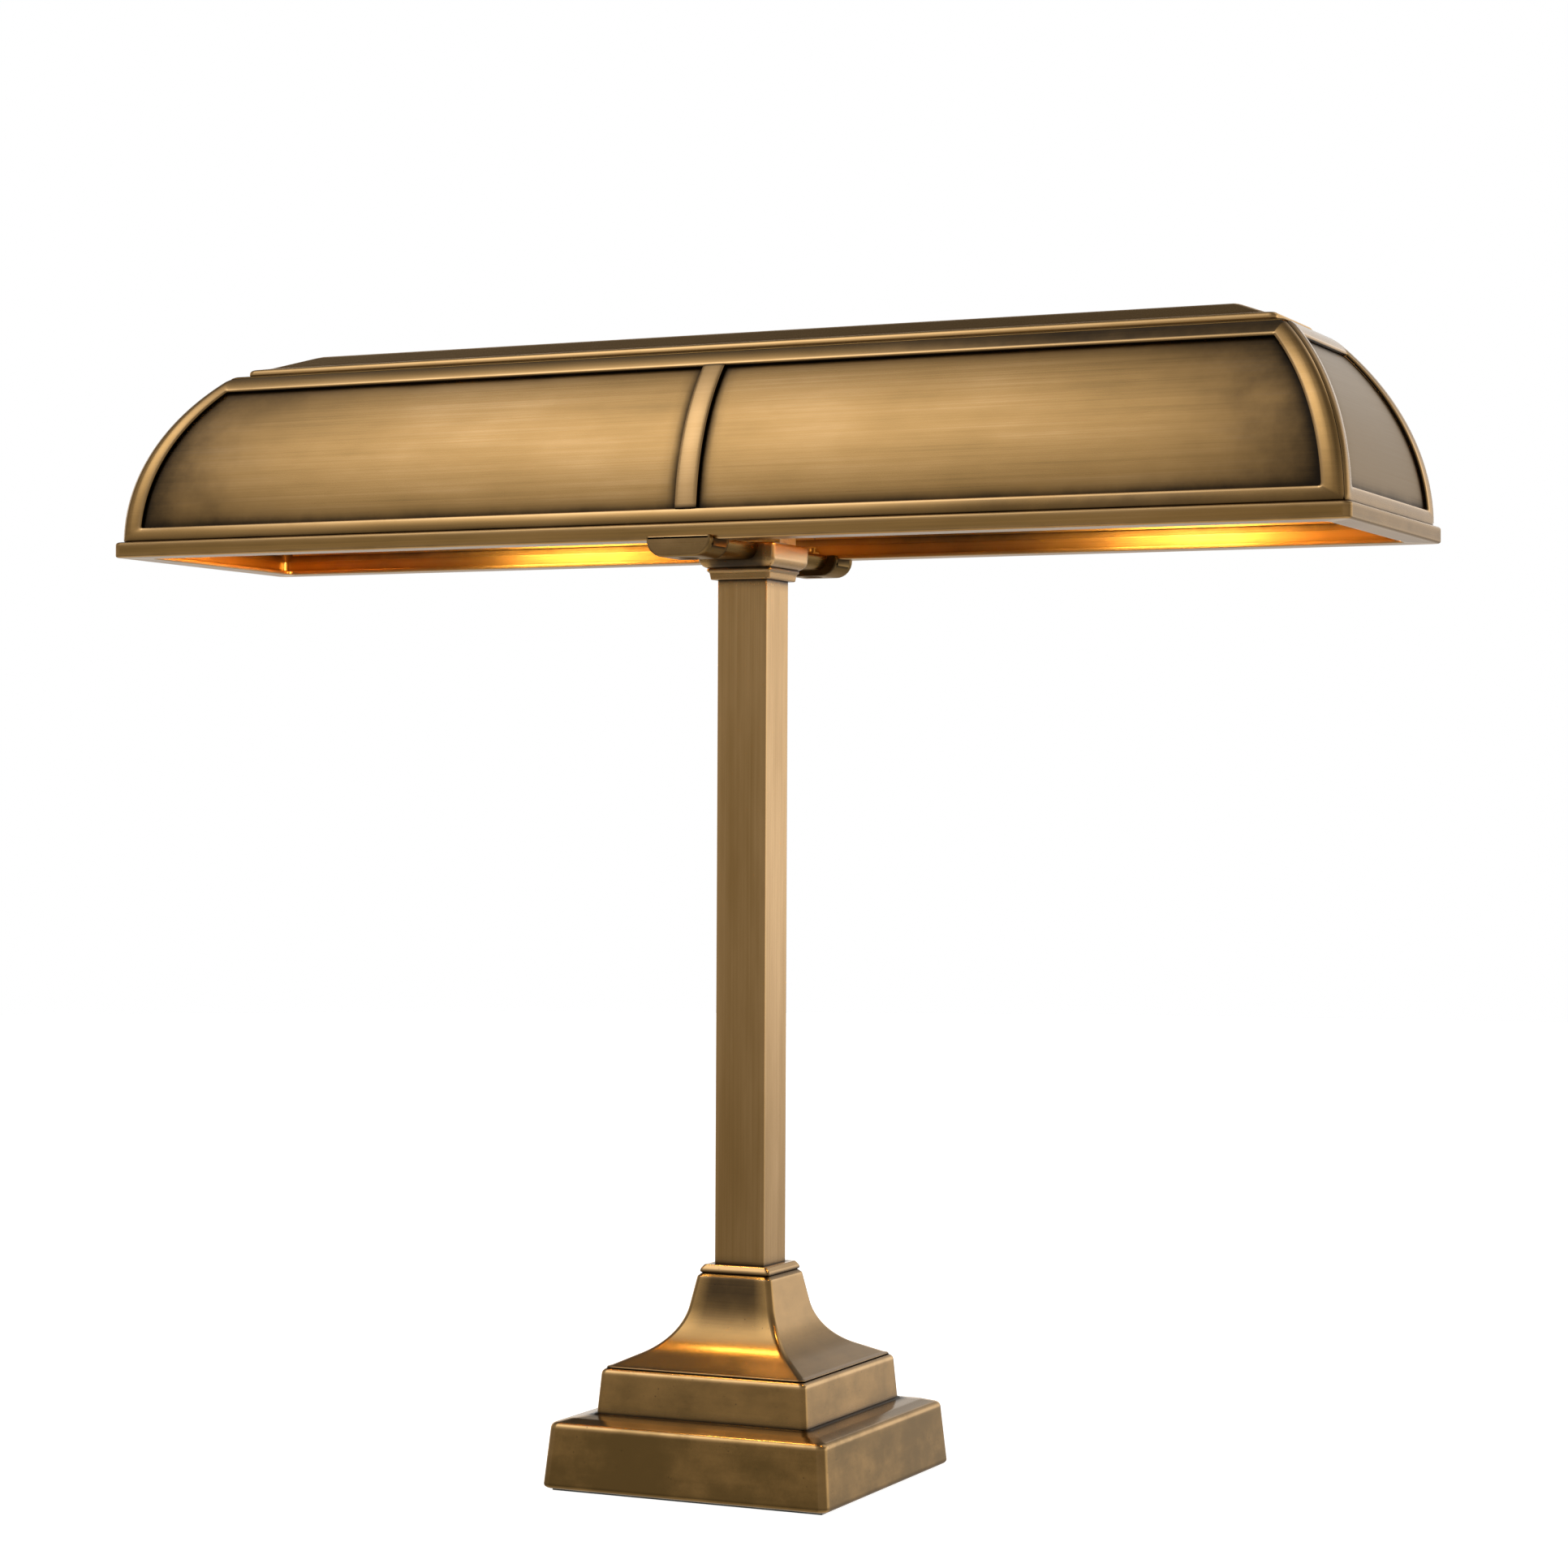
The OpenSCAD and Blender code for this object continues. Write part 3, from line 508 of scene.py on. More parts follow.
def build_cove():
    """Pedestal with hollow sides: a shallow lower line, a quarter hollow, a steep upper line."""
    centre, r = np.array([51.2, 88.2]), 30.0
    z0, z1, foot = low("base_cove", "z"), high("base_cove", "z"), high("base_cove", "y")
    lean, rise = math.radians(11.3), math.radians(25.5)
    hollow = [centre - r * np.array([math.sin(a), math.cos(a)])
              for a in np.linspace(rise, math.pi / 2 - lean, 22)]
    lower_w = foot - 1.2
    lower = (lower_w, hollow[0][1] - math.tan(rise) * (lower_w - hollow[0][0]))
    upper_z = z1 - 1.6
    upper = (hollow[-1][0] - math.tan(lean) * (upper_z - hollow[-1][1]), upper_z)
    corners = [(foot - 1, z0 - 0.1, 0, -1), (foot, z0 + 0.3, 0.3, 0.4),
               (foot - 0.1, lower[1] - 0.2, 0.5, 0.7), (lower[0] - 0.6, lower[1] + 0.3, 0, 0)]
    corners += [(w, z, 0, 0) for w, z in hollow]
    corners += [(upper[0], upper[1], 0.8, 0.7), (upper[0] - 1.8, z1, 0, -0.8), (12, z1, 0, 0)]
    rows = outline(corners)
    verts, faces, wear_and_highlight, grime_and_shade = sweep(rows, (0, 0), 2.6, 6, edge_wear_and_highlight=0.35)
    # painted shade across the pedestal's front
    darkening = painted_front_shade(np.array(verts), rows[:, 1] - z1)
    piece("base_cove", verts, faces, BRASS["cove"], ["base_cove"], wear_and_highlight=wear_and_highlight,
          grime_and_shade=np.maximum(grime_and_shade, darkening))


def painted_front_shade(verts, below_top):
    """Painted shade on the upper part of the pedestal's front, weaker towards its two edges."""
    shade = 0.38 * np.exp(-((below_top + 6) / 12.0) ** 2) + 0.34 * smooth(below_top, -36, -20)
    x, y = verts[:, 0], verts[:, 1]
    off_middle = np.minimum(np.abs(x), np.abs(y)) / np.abs(verts[:, :2]).max(1)
    front = y < -np.abs(x) - 0.1
    ring = len(verts) // len(shade)
    return np.repeat(shade, ring) * (1 - smooth(off_middle, 0.5, 1.05)) * front


def build_column():
    """The square tube, brushed along its length."""
    z0, z1, w = low("column_tube", "z"), high("column_tube", "z"), high("column_tube", "y")
    moulding("column_tube", [(w, z0, 0, -0.8), (w, z1, 0, -0.9)], BRASS["tube"], 1.3, 6, upright=True)


def build_capital():
    z0, z1, w = 421.3, high("capital_step", "z"), high("capital_step", "y")
    moulding("capital_step", [
        (12.6, z0, 0, -1), (w - 1.4, z0, 0.6, 0.5), (w - 0.9, z0 + 3.2, 0.7, -0.2),
        (w, z1 - 1.1, 0.5, 0.8), (w - 0.1, z1, 0, -0.8), (12, z1, 0, 0)],
        BRASS["capital"], 1.2, 8)
    z0, z1, w = low("capital_block", "z"), high("capital_block", "z"), high("capital_block", "y")
    flare, lean = 4.5, 0.4
    foot = w - lean - flare
    quarter = [(foot + flare * math.sin(a), z0 + flare - flare * math.cos(a), 0, 0)
               for a in np.linspace(0.12, math.pi / 2 - 0.05, 8)]
    rows = outline([(10, z0, 0, 0), (foot, z0, 0, -0.9), *quarter, (w, z1, 0.9, 0.7), (10, z1, 0, 0)])
    verts, faces, wear_and_highlight, grime_and_shade = sweep(rows, (0, 0), 1.5, 4, edge_wear_and_highlight=0.5)
    x, y = np.abs(np.array(verts)[:, :2]).T
    # painted shadow on the block's front and back round the arms' roots
    shadow = 0.8 * (1 - smooth(x, 11, 18)) * smooth(y, 14, 17)  # round the arms' roots
    # painted highlight on the block's two sides
    painted_side_highlight = 0.95 * smooth(x, w - 3, w - 0.5)
    piece("capital_block", verts, faces, BRASS["capital"], ["capital_block"],
          wear_and_highlight=np.maximum(wear_and_highlight, painted_side_highlight), grime_and_shade=np.maximum(grime_and_shade, shadow))


def arm_loop(y, half, top, inset, base, r, edge=0.7):
    """Cross section of an arm at y: rounded by r below, by edge above."""
    half, top, base = half - inset, top - inset, base + inset
    pts = [(half - r + r * math.cos(a), base + r - r * math.sin(a))
           for a in np.radians(np.linspace(0, 90, 9))]
    left = [(-x, z) for x, z in pts[::-1]]
    top_left = [(-half + edge - edge * math.cos(a), top - edge + edge * math.sin(a))
                for a in np.radians([0, 30, 60, 90])]
    top_right = [(-x, z) for x, z in top_left[::-1]]
    return [(x, y, z) for x, z in [*pts, *left, *top_left, *top_right]]


def arm_tone(y, z, top, foot, floor, reach):
    """(bright edge, dark share) of a point on an arm: abrasion with painted highlights on its edges,
    patina in its creases, painted shade in the notch and under the arm near the column.
    """
    edge = math.exp(-abs(z - top) / 0.6) + math.exp(-abs(y - reach) / 0.9)
    corner = math.exp(-max(0, abs(y - 60)) / 1.2) + math.exp(-max(0, y - 20) / 2.5)
    hook = 0.38 * smooth(y, 58.5, 59.5)
    # painted shadow in the notch under the rim's flange
    notch = 1.0 if 61.9 < y < 76.0 and z > floor - 0.6 else 0.0
    # painted shade under the arm near the column
    under = 0.8 * (1 - smooth(z - foot, 3, 8)) * (1 - smooth(y, 24, 46))
    shoulder = 0.35 * math.exp(-abs(y - 59.1) / 0.5)
    return min(1, 0.8 * edge), min(1, 0.4 * corner + hook + notch + under + shoulder)


def build_arm(name, sign):
    """Hooked arm towards one side, with the notch that holds the rim's flange."""
    lip, foot = high(name, "z"), low(name, "z")
    neck, block = NECK_HALF, high(name, "x")
    floor, reach = 433.0, 80.0  # the notch's floor and the arm's end
    # stations along the arm: distance from the column, half width, top, and how far all is drawn in
    stations = [
        (17, neck, lip, 0), (30, neck, lip, 0), (45, neck, lip, 0), (58.4, neck, lip, 0),
        (59.0, neck + 0.1, lip, 0), (59.05, block - 1.2, lip, 0), (59.3, block - 0.3, lip, 0),
        (59.9, block, lip, 0), (61.2, block, lip, 0), (61.8, block, lip - 0.25, 0),
        (62.0, block, lip - 0.9, 0), (62.05, block, floor + 0.5, 0), (62.5, block, floor, 0),
        (68, block, floor, 0), (75.5, block, floor, 0), (75.95, block, floor + 0.5, 0),
        (76, block, lip - 0.8, 0), (76.25, block, lip - 0.2, 0), (76.9, block, lip, 0),
        (78.8, block, lip, 0), (79.5, block, lip, 0.12), (79.85, block, lip, 0.4),
        (reach, block, lip, 0.9)]
    verts, wear_and_highlight, grime_and_shade = [], [], []
    for y, half, top, inset in stations:
        shape = (foot + NECK_LIFT, 6.0) if half < neck + 1 else (foot, 8.0)
        loop = arm_loop(sign * y, half, top, inset, *shape)
        verts += loop
        for _, _, z in loop:
            worn_and_lit, dark = arm_tone(y, z, top, foot, floor, reach)
            wear_and_highlight.append(worn_and_lit)
            grime_and_shade.append(dark)
    faces = ring_faces(len(stations), len(loop))
    obj = piece(name, verts, faces, BRASS["arm"], [name], wear_and_highlight=wear_and_highlight, grime_and_shade=grime_and_shade)
    cut_recess(obj, sign)


def cut_recess(obj, sign):
    """Counterbored screw hole under the hook."""
    base, screw_y = low("arm_front", "z"), 68
    for radius, top in ((4.75, 2.6), (1.65, 20.0)):
        cutter = bmesh.new()
        place = Matrix.Translation((0, sign * screw_y * MM, (base + (top - 1) / 2) * MM))
        bmesh.ops.create_cone(cutter, cap_ends=True, segments=48, radius1=radius * MM,
                              radius2=radius * MM, depth=(top + 1) * MM, matrix=place)
        mesh = bpy.data.meshes.new("cutter")
        cutter.to_mesh(mesh)
        cutter.free()
        tool = new_object("cutter", mesh)
        cut = obj.modifiers.new("hole", "BOOLEAN")
        cut.operation, cut.solver, cut.object = "DIFFERENCE", "EXACT", tool
        dg = bpy.context.evaluated_depsgraph_get()
        made = bpy.data.meshes.new_from_object(obj.evaluated_get(dg))
        obj.modifiers.clear()
        obj.data = made
        bpy.data.objects.remove(tool)


# ---- shade ----


def bow(b, depth):
    """(inset from the rim, height) at arc length b up the bowed side and a depth below its skin."""
    a = np.asarray(b, float) / BOW_R
    r = BOW_R - depth
    return LEDGE + BOW_R - r * np.cos(a), RIM_Z1 + r * np.sin(a)


def arc_at(z):
    """Arc length up the bow at the height z."""
    return BOW_R * math.asin((z - RIM_Z1) / BOW_R)


# arc lengths of the window's foot and head, and of the frame's top
B_RAIL = arc_at(high("bottom_rail", "z"))
B_HEAD = arc_at(low("top_rail", "z")) + HEAD_LIFT
B_TOP = arc_at(high("top_rail", "z"))


class Side:
    """One of the four bowed faces. s runs level and anticlockwise seen from above, b up the bow."""

    def __init__(self, turn):
        self.turn = turn
        self.long = turn % 2 == 0
        self.half, self.other = (SHADE_X, SHADE_Y) if self.long else (SHADE_Y, SHADE_X)
        self.stile = LONG_STILE if self.long else END_STILE

    def reach(self, b, depth=0.0):
        """Distance from the face's middle to its mitre."""
        return self.half - bow(b, depth)[0]

    def to_xyz(self, s, out, z):
        """The face's own (along, outwards, up) as x, y, z."""
        x, y = {0: (s, -out), 1: (out, s), 2: (-s, out), 3: (-out, -s)}[self.turn]
        return np.stack([x, y, z], -1)

    def at(self, s, b, depth):
        inset, z = bow(b, depth)
        return self.to_xyz(*np.broadcast_arrays(np.asarray(s, float), self.other - inset, z))

    def normal(self, b):
        a = np.asarray(b, float) / BOW_R
        return self.to_xyz(np.zeros_like(a), np.cos(a), np.sin(a))


def window_stations(side, radius=WINDOW_R, level=40, rise=22, corner=6):
    """Stations round a face's window: (corner centre, outward normal, (outer edge, place on it)).

    Gives those of its right half, and the same mirrored for the left.
    """
    def edge(b):
        return side.reach(b) - side.stile

    def edge_normal(b):
        slope = (edge(b + 0.01) - edge(b - 0.01)) / 0.02
        return unit(np.array([1.0, -slope]))

    b_lo, b_hi = B_RAIL, B_HEAD
    for _ in range(4):
        b_lo = B_RAIL + radius * (1 + edge_normal(b_lo)[1])
        b_hi = B_HEAD - radius * (1 - edge_normal(b_hi)[1])
    right = [(b, edge_normal(b)) for b in np.linspace(b_lo, b_hi, rise)]
    low_core = np.array([edge(b_lo), b_lo]) - radius * right[0][1]
    high_core = np.array([edge(b_hi), b_hi]) - radius * right[-1][1]

    def turn(core, first, last):
        a0, a1 = math.atan2(first[1], first[0]), math.atan2(last[1], last[0])
        return [(core, np.array([math.cos(a), math.sin(a)]))
                for a in np.linspace(a0, a1, corner + 1)[1:-1]]

    half = []
    for s in np.linspace(0, low_core[0], level):
        half.append((np.array([s, B_RAIL + radius]), np.array([0.0, -1.0]), ("foot", s)))
    for k, (core, n) in enumerate(turn(low_core, (0, -1), right[0][1]), 1):
        share = k / (corner / 2)
        place = ("foot", low_core[0] + (side.reach(0) - low_core[0]) * share) if share <= 1 else (
            "mitre", b_lo * (share - 1))
        half.append((core, n, place))
    for b, n in right:
        half.append((np.array([edge(b), b]) - radius * n, n, ("mitre", b)))
    for k, (core, n) in enumerate(turn(high_core, right[-1][1], (0, 1)), 1):
        share = k / (corner / 2)
        top_reach = side.reach(B_TOP)
        place = ("mitre", b_hi + (B_TOP - b_hi) * share) if share <= 1 else (
            "head", top_reach + (high_core[0] - top_reach) * (share - 1))
        half.append((core, n, place))
    for s in np.linspace(high_core[0], 0, level):
        half.append((np.array([s, B_HEAD - radius]), np.array([0.0, 1.0]), ("head", s)))
    return half, [(core * (-1, 1), n * (-1, 1), place) for core, n, place in half[-2:0:-1]]


def shade_side(side, round_w=5.0):
    """Points, faces, bright edges and dark shares of one face of the shade's frame, open at its mitres
    inside.
    """
    radius, edge_r, crown = WINDOW_R, 1.0, 0.45
    half, mirrored = window_stations(side, radius)
    core, normal, places = zip(*half, *mirrored)
    signs = [1] * len(half) + [-1] * len(mirrored)
    foot = np.array([kind == "foot" for kind, _ in places])
    level = np.array([kind != "mitre" for kind, _ in places])
    rows, wear_and_highlight, grime_and_shade = [], [], []

    def loop(d):
        return np.array(core) + np.array(normal) * (radius + d)

    def outer(depth):
        pts = []
        for (kind, place), sign in zip(places, signs):
            b = {"foot": 0.0, "head": B_TOP}.get(kind, place)
            s = side.reach(b, depth)
            if kind != "mitre" and abs(place) < side.reach(b) - 1e-6:
                s = min(abs(place), s)
            pts.append((sign * s, b))
        return np.array(pts)

    def add_row(sb, depth, w, g):
        s, b = sb.T
        depth, w, g = (np.broadcast_to(v, s.shape) for v in (depth, w, g))
        gap = side.reach(b, depth) - np.abs(s)
        right, left = Side((side.turn + 1) % 4), Side((side.turn - 1) % 4)
        middle = side.normal(b) + np.where((s > 0)[:, None], right.normal(b), left.normal(b))
        middle /= np.linalg.norm(middle, axis=1)[:, None]
        near = np.clip(1 - gap / round_w, 0, 1)
        sink = round_w / 2 * np.sqrt((1 - np.sin(b / BOW_R) ** 2) / 2) * near ** 2
        rows.append(side.at(s, b, depth) - middle * (sink * (depth < STRIP_T - 0.01))[:, None])
        # bright band along the mitre: abrasion with a painted highlight
        wear_and_highlight.append(np.maximum(w, 0.75 * np.exp(-gap / 1.3)))
        grime_and_shade.append(g)

    add_row(outer(STRIP_T), STRIP_T, 0, 0.4)
    add_row(loop(0), STRIP_T, 0, 1)
    for depth in (1.6, edge_r + crown):
        add_row(loop(0), depth, 0, 1)
    for a in np.radians([30, 60, 90]):
        add_row(loop(edge_r * (1 - math.cos(a))), crown + edge_r * (1 - math.sin(a)),
                0.85 * math.sin(a), 0.35 * math.cos(a))
    inner = loop(edge_r)
    width = np.linalg.norm(outer(0.0) - inner, axis=1)
    for f in (0.06, 0.14, 0.26, 0.42, 0.58, 0.72, 0.82, 0.89, 0.945, 1.0):
        dome = crown * (2 * f - 1) ** 2
        lip = np.where(foot, 0.6 * max(0, (f - 0.94) / 0.06), 0)
        depth = dome + lip
        target = outer(depth.max() if f == 1 else 0.0)
        sb = inner * (1 - f) + target * f
        to_edge = (1 - f) * width
        # bright band along the window's edge: abrasion with a painted highlight
        worn_and_lit = 0.7 * np.exp(-f * width / 1.3)
        joint = np.where(foot, np.exp(-to_edge / 1.2), 0.8 * np.exp(-to_edge / 1.0)) * level
        # painted shadow band on a long side's stile, beside the mitre
        shadow = 0.38 * np.exp(-(to_edge - 3.2) ** 2 / 3.0) * (~level) * side.long
        # long sides get painted shade growing towards their right end; the ends are evenly darker
        to_right = smooth(sb[:, 0], -20, 190)
        darkening = np.where(foot, 0.46 * to_right, 0.20 + 0.50 * to_right) * level if side.long else 0.35
        dark = np.maximum(np.maximum(joint, shadow), darkening)
        add_row(sb, np.where(level, depth, dome), worn_and_lit * (1 - joint), dark)
    faces = side_faces(side, places, len(rows))
    return np.concatenate(rows), faces, np.concatenate(wear_and_highlight), np.concatenate(grime_and_shade)


def side_faces(side, places, rows):
    """Faces of shade_side: its last row meets its first along the rails, not at the mitres."""
    n = len(places)
    faces = []
    for j in range(rows - 1):
        for i in range(n):
            k = (i + 1) % n
            faces.append((j * n + k, j * n + i, (j + 1) * n + i, (j + 1) * n + k))
    for i in range(n):
        k = (i + 1) % n
        on_rail = [places[m] for m in (i, k) if places[m][0] != "mitre"]
        if not on_rail:
            continue
        kind, place = on_rail[0]
        rail_end = side.reach(0 if kind == "foot" else B_TOP)
        if len(on_rail) == 2 or abs(abs(place) - rail_end) >= 1e-6:
            faces.append(((rows - 1) * n + k, (rows - 1) * n + i, i, k))
    return faces


def build_shade_frame():
    """Rails and corner stiles as the one casting that shows, bright on its edges with abrasion and
    painted highlights.
    """
    sides, faces, count = [], [], 0
    for turn in range(4):
        points, side_quads, wear_and_highlight, grime_and_shade = shade_side(Side(turn))
        sides.append((points, wear_and_highlight, grime_and_shade))
        faces += [tuple(i + count for i in quad) for quad in side_quads]
        count += len(points)
    verts, wear_and_highlight, grime_and_shade = (np.concatenate(part) for part in zip(*sides))
    piece("shade_frame", verts, faces, BRASS["frame"], ["bottom_rail", "top_rail", "corner_stiles"],
          wear_and_highlight=wear_and_highlight, grime_and_shade=grime_and_shade, sharp=50, lining=BRASS["inner"])


def grid_solid(outside, inside):
    """Closed skin between two grids of points of the same shape."""
    rows, cols = outside.shape[:2]
    verts = np.concatenate([outside.reshape(-1, 3), inside.reshape(-1, 3)])
    n = rows * cols
    grid = np.arange(n).reshape(rows, cols)
    faces = []
    for a in grid[:-1, :-1].ravel():
        quad = (a, a + 1, a + cols + 1, a + cols)
        faces += [quad, tuple(q + n for q in quad[::-1])]
    border = [*grid[0], *grid[1:, -1], *grid[-1, -2::-1], *grid[-2:0:-1, 0]]
    for a, b in zip(border, border[1:] + border[:1]):
        faces.append((b, a, a + n, b + n))
    return verts, faces


def steps(a, b, spacing, edge):
    """Values from a to b, closer together within edge of each end."""
    dense = [d for d in (0.0, 0.6, 1.4, 2.4, 3.6, 5.0, 6.6, 8.4, 10.5) if d < edge]
    middle = np.linspace(a + edge, b - edge, max(2, round((b - a - 2 * edge) / spacing) + 1))
    return np.array([*(a + d for d in dense), *middle, *(b - d for d in dense[::-1])])


def panel_patina_and_shade(gap_in, gap_out, gap_low, gap_top, far_share):
    """Patina and painted shade of a panel, from the distances to the frame round it."""
    # painted shade spreading from a panel's outer end
    far = 0.64 * np.exp(-(gap_out / 58) ** 1.3) * far_share
    sides = 1 - (1 - np.exp(-gap_in / 3.4)) * (1 - np.exp(-gap_out / 2.8)) * (1 - far)
    # dark at the top and bottom: patina with painted shade at the frame, painted shade further in
    ends = 0.70 * np.exp(-gap_top / 2.2) + 0.60 * np.exp(-gap_low / 2.8)
    ends += 0.24 * np.exp(-gap_top / 10) + 0.20 * np.exp(-gap_low / 9)
    return np.clip(1 - (1 - 0.95 * sides) * (1 - np.clip(ends, 0, 1)), 0, 1)


def build_panel(side, from_middle):
    """Brushed sheet behind the window, dished a little along its edges, where patina and painted shade
    sit.
    """
    rise = steps(B_RAIL - LAP, B_HEAD - HEAD_LIFT + LAP, 3.0, 12)
    b = rise[:, None]
    edge = side.reach(b) - side.stile
    foot_edge = side.reach(B_RAIL) - side.stile
    if from_middle:
        start, inner_edge = 0.2, MULLION_HALF
        cover, nominal = inner_edge - start, foot_edge - inner_edge
        u = steps(-cover, nominal + LAP, 5.0, 16)
        s = start + (u + cover) / (nominal + LAP + cover) * (edge + LAP - start)
    else:
        inner_edge, nominal = -edge, 2 * foot_edge
        u = steps(-LAP, nominal + LAP, 5.0, 16)
        s = (2 * (u + LAP) / (nominal + 2 * LAP) - 1) * (edge + LAP)
    b = np.broadcast_to(b, s.shape)
    gaps = np.clip([s - inner_edge, edge - s, b - B_RAIL, B_HEAD - b], 0, None)
    dish = 0.55 * np.exp(-gaps.min(0) / 2.6)
    grime_and_shade = panel_patina_and_shade(*gaps, 1 if from_middle else 0.1)
    outside, inside = side.at(s, b, STRIP_T + 0.06 + dish), side.at(s, b, STRIP_T + PANEL_T)
    verts, faces = grid_solid(outside, inside)
    return verts, faces, np.concatenate([grime_and_shade.ravel(), np.zeros(grime_and_shade.size)])


def build_panels():
    """The four long panels and the two at the ends."""
    mirror_x = np.array([-1, 1, 1])
    for name, turn, from_middle, flip in (
            ("panel_front_right", 0, True, False), ("panel_front_left", 0, True, True),
            ("panel_back_left", 2, True, False), ("panel_back_right", 2, True, True),
            ("panel_end_right", 1, False, False), ("panel_end_left", 3, False, False)):
        verts, faces, grime_and_shade = build_panel(Side(turn), from_middle)
        if flip:
            verts = verts * mirror_x
        skin = BRASS["panel"] if from_middle else BRASS["end"]
        piece(name, verts, faces, skin, [name], grime_and_shade=grime_and_shade, lining=BRASS["inner"])


def build_mullion(name, side):
    """Upright strip in the middle of a long side, let in a little below the rails."""
    w, r, skin = MULLION_HALF, 0.8, 0.28
    right = [(w, STRIP_T), (w, 1.5)]
    right += [(w - r + r * math.cos(a), skin + r - r * math.sin(a))
              for a in np.radians([0, 30, 60, 90])]
    right += [(w - 1.8, skin - 0.05), (w / 2, skin - 0.12)]
    section = [(-s, t) for s, t in right] + [(0, skin - 0.14)] + right[::-1]
    rise = np.linspace(B_RAIL + 0.05, B_HEAD - 0.05, 30)
    verts, wear_and_highlight, grime_and_shade = [], [], []
    for b in rise:
        for s, t in section:
            verts.append(side.at(s, b, t))
            edge = w - abs(s)
            wear_and_highlight.append(0.8 * math.exp(-max(0, edge - 0.5) / 0.8) if t < 0.9 else 0)
            end = min(b - rise[0], rise[-1] - b)
            grime_and_shade.append(max(1.0 if t > 1.0 else 0.0, 0.8 * math.exp(-end / 0.8)))
    faces = ring_faces(len(rise), len(section))
    piece(name, verts, faces, BRASS["mullion"], [name], wear_and_highlight=wear_and_highlight, grime_and_shade=grime_and_shade, lining=BRASS["inner"])


def build_rim():
    """The rim: a rounded band with a flange turned in below."""
    wall, flange_top = LEDGE + STRIP_T, RIM_Z0 + 2.0
    rows = outline([
        (-wall - 3, flange_top, 0, 0), (-FLANGE_W, flange_top, 0.4, 0.2),
        (-FLANGE_W, RIM_Z0, 0.5, 0.6), (0, RIM_Z0, 1.1, 0.6), (0, RIM_Z1, 1.3, 0.9),
        (-LEDGE + 0.2, RIM_Z1, 0, -1), (-wall, RIM_Z1 - 0.02, 0.2, 0),
        (-wall, flange_top, 0.3, -0.5), (-wall - 2.9, flange_top, 0, 0)], 3.0)
    verts, faces, wear_and_highlight, grime_and_shade = sweep(rows, (SHADE_X, SHADE_Y), 3.0, 12, closed=True, edge_wear_and_highlight=0.6)
    # darker on the rim's two ends
    darkening = 0.42 * smooth(np.abs(np.array(verts)[:, 0]), SHADE_X - 2.4, SHADE_X - 0.4)
    piece("shade_rim", verts, faces, BRASS["rim"], ["shade_rim"], wear_and_highlight=wear_and_highlight,
          grime_and_shade=np.maximum(grime_and_shade, darkening), lining=BRASS["inner"])


def build_crown():
    """Plate, step and hipped ridge; each corner is placed inwards from the rim's outer face."""
    plate_z, ledge_z = low("crown_plate", "z"), high("crown_plate", "z")
    step_z, top = high("crown_step", "z"), high("crown_ridge", "z")
    plate, step = SHADE_Y - high("crown_plate", "y"), SHADE_Y - high("crown_step", "y")
    plate_line = [
        (-plate - 6, plate_z - 1.8, 0, -0.6), (-plate - 1.5, plate_z - 1.8, 0.2, -0.6),
        (-plate - 0.7, plate_z, 0.2, 0.1), (-plate - 2.2, ledge_z, 1.2, 0.1),
        (-step + 0.5, ledge_z, 0, -0.9), (-step - 4, ledge_z, 0, 0)]
    step_line = [
        (-step - 1, ledge_z, 0, -1), (-step - 0.2, ledge_z, 0.2, -0.8),
        (-step, step_z - 1.4, 0, 0), (-step - 3, step_z - 1.4, 0, 0)]
    ridge_line = [
        (-step - 2, step_z - 1.6, 0, 0), (-step, step_z - 1.6, 0.3, 0),
        (-step - 0.2, step_z + 1.0, 2.0, 1.0), (-step - 7.2, step_z + 2.3, 8.0, -0.45),
        (-step - 23.4, top - 0.8, 6.0, 0.5), (-step - 26.0, top, 1.0, 0.3),
        (-step - 27.6, top, 0, 0)]
    for name, corners, corner_r in (("crown_plate", plate_line, 3.0), ("crown_step", step_line, 3.0),
                                    ("crown_ridge", ridge_line, 2.6)):
        rows = outline(corners, 3.0)
        verts, faces, wear_and_highlight, grime_and_shade = sweep(rows, (SHADE_X, SHADE_Y), corner_r, 14)
        # darker towards the left end
        darkening = 0.28 * smooth(-np.array(verts)[:, 0], SHADE_X - 130, SHADE_X - 30)
        piece(name, verts, faces, BRASS["crown"], [name], wear_and_highlight=wear_and_highlight, grime_and_shade=np.maximum(grime_and_shade, darkening))


# ---- lamps and hardware ----

BRIGHT_BRASS = plain("bright_brass", (0.80, 0.60, 0.30), 1.0, 0.24, 900, 0.12, 0.15)
ZINC = plain("zinc_steel", (0.62, 0.63, 0.63), 1.0, 0.34, 700, 0.18, 0.3)
IRON = plain("cast_iron", (0.035, 0.035, 0.038), 0.0, 0.62, 420, 0.35, 0.9, 0.4)
FELT = plain("felt", (0.028, 0.036, 0.030), 0.0, 0.95, 1500, 0.5, 1.0, 0.5,
             **{"Sheen Weight": 0.5, "Sheen Roughness": 0.5})
RUBBER = plain("black_rubber", (0.022, 0.022, 0.022), 0.0, 0.66, 900, 0.25, 0.4)
PHENOLIC = plain("black_phenolic", (0.020, 0.018, 0.016), 0.0, 0.28, 260, 0.3, 0.2)
CERAMIC = plain("ceramic", (0.78, 0.75, 0.68), 0.0, 0.22, 300, 0.06, 0.15)
LEAD = plain("lead_jacket", (0.20, 0.075, 0.03), 0.0, 0.5, 600, 0.2, 0.3)
DARK_BRASS = plain("dark_brass", (0.22, 0.14, 0.06), 1.0, 0.36, 500, 0.3, 0.3)
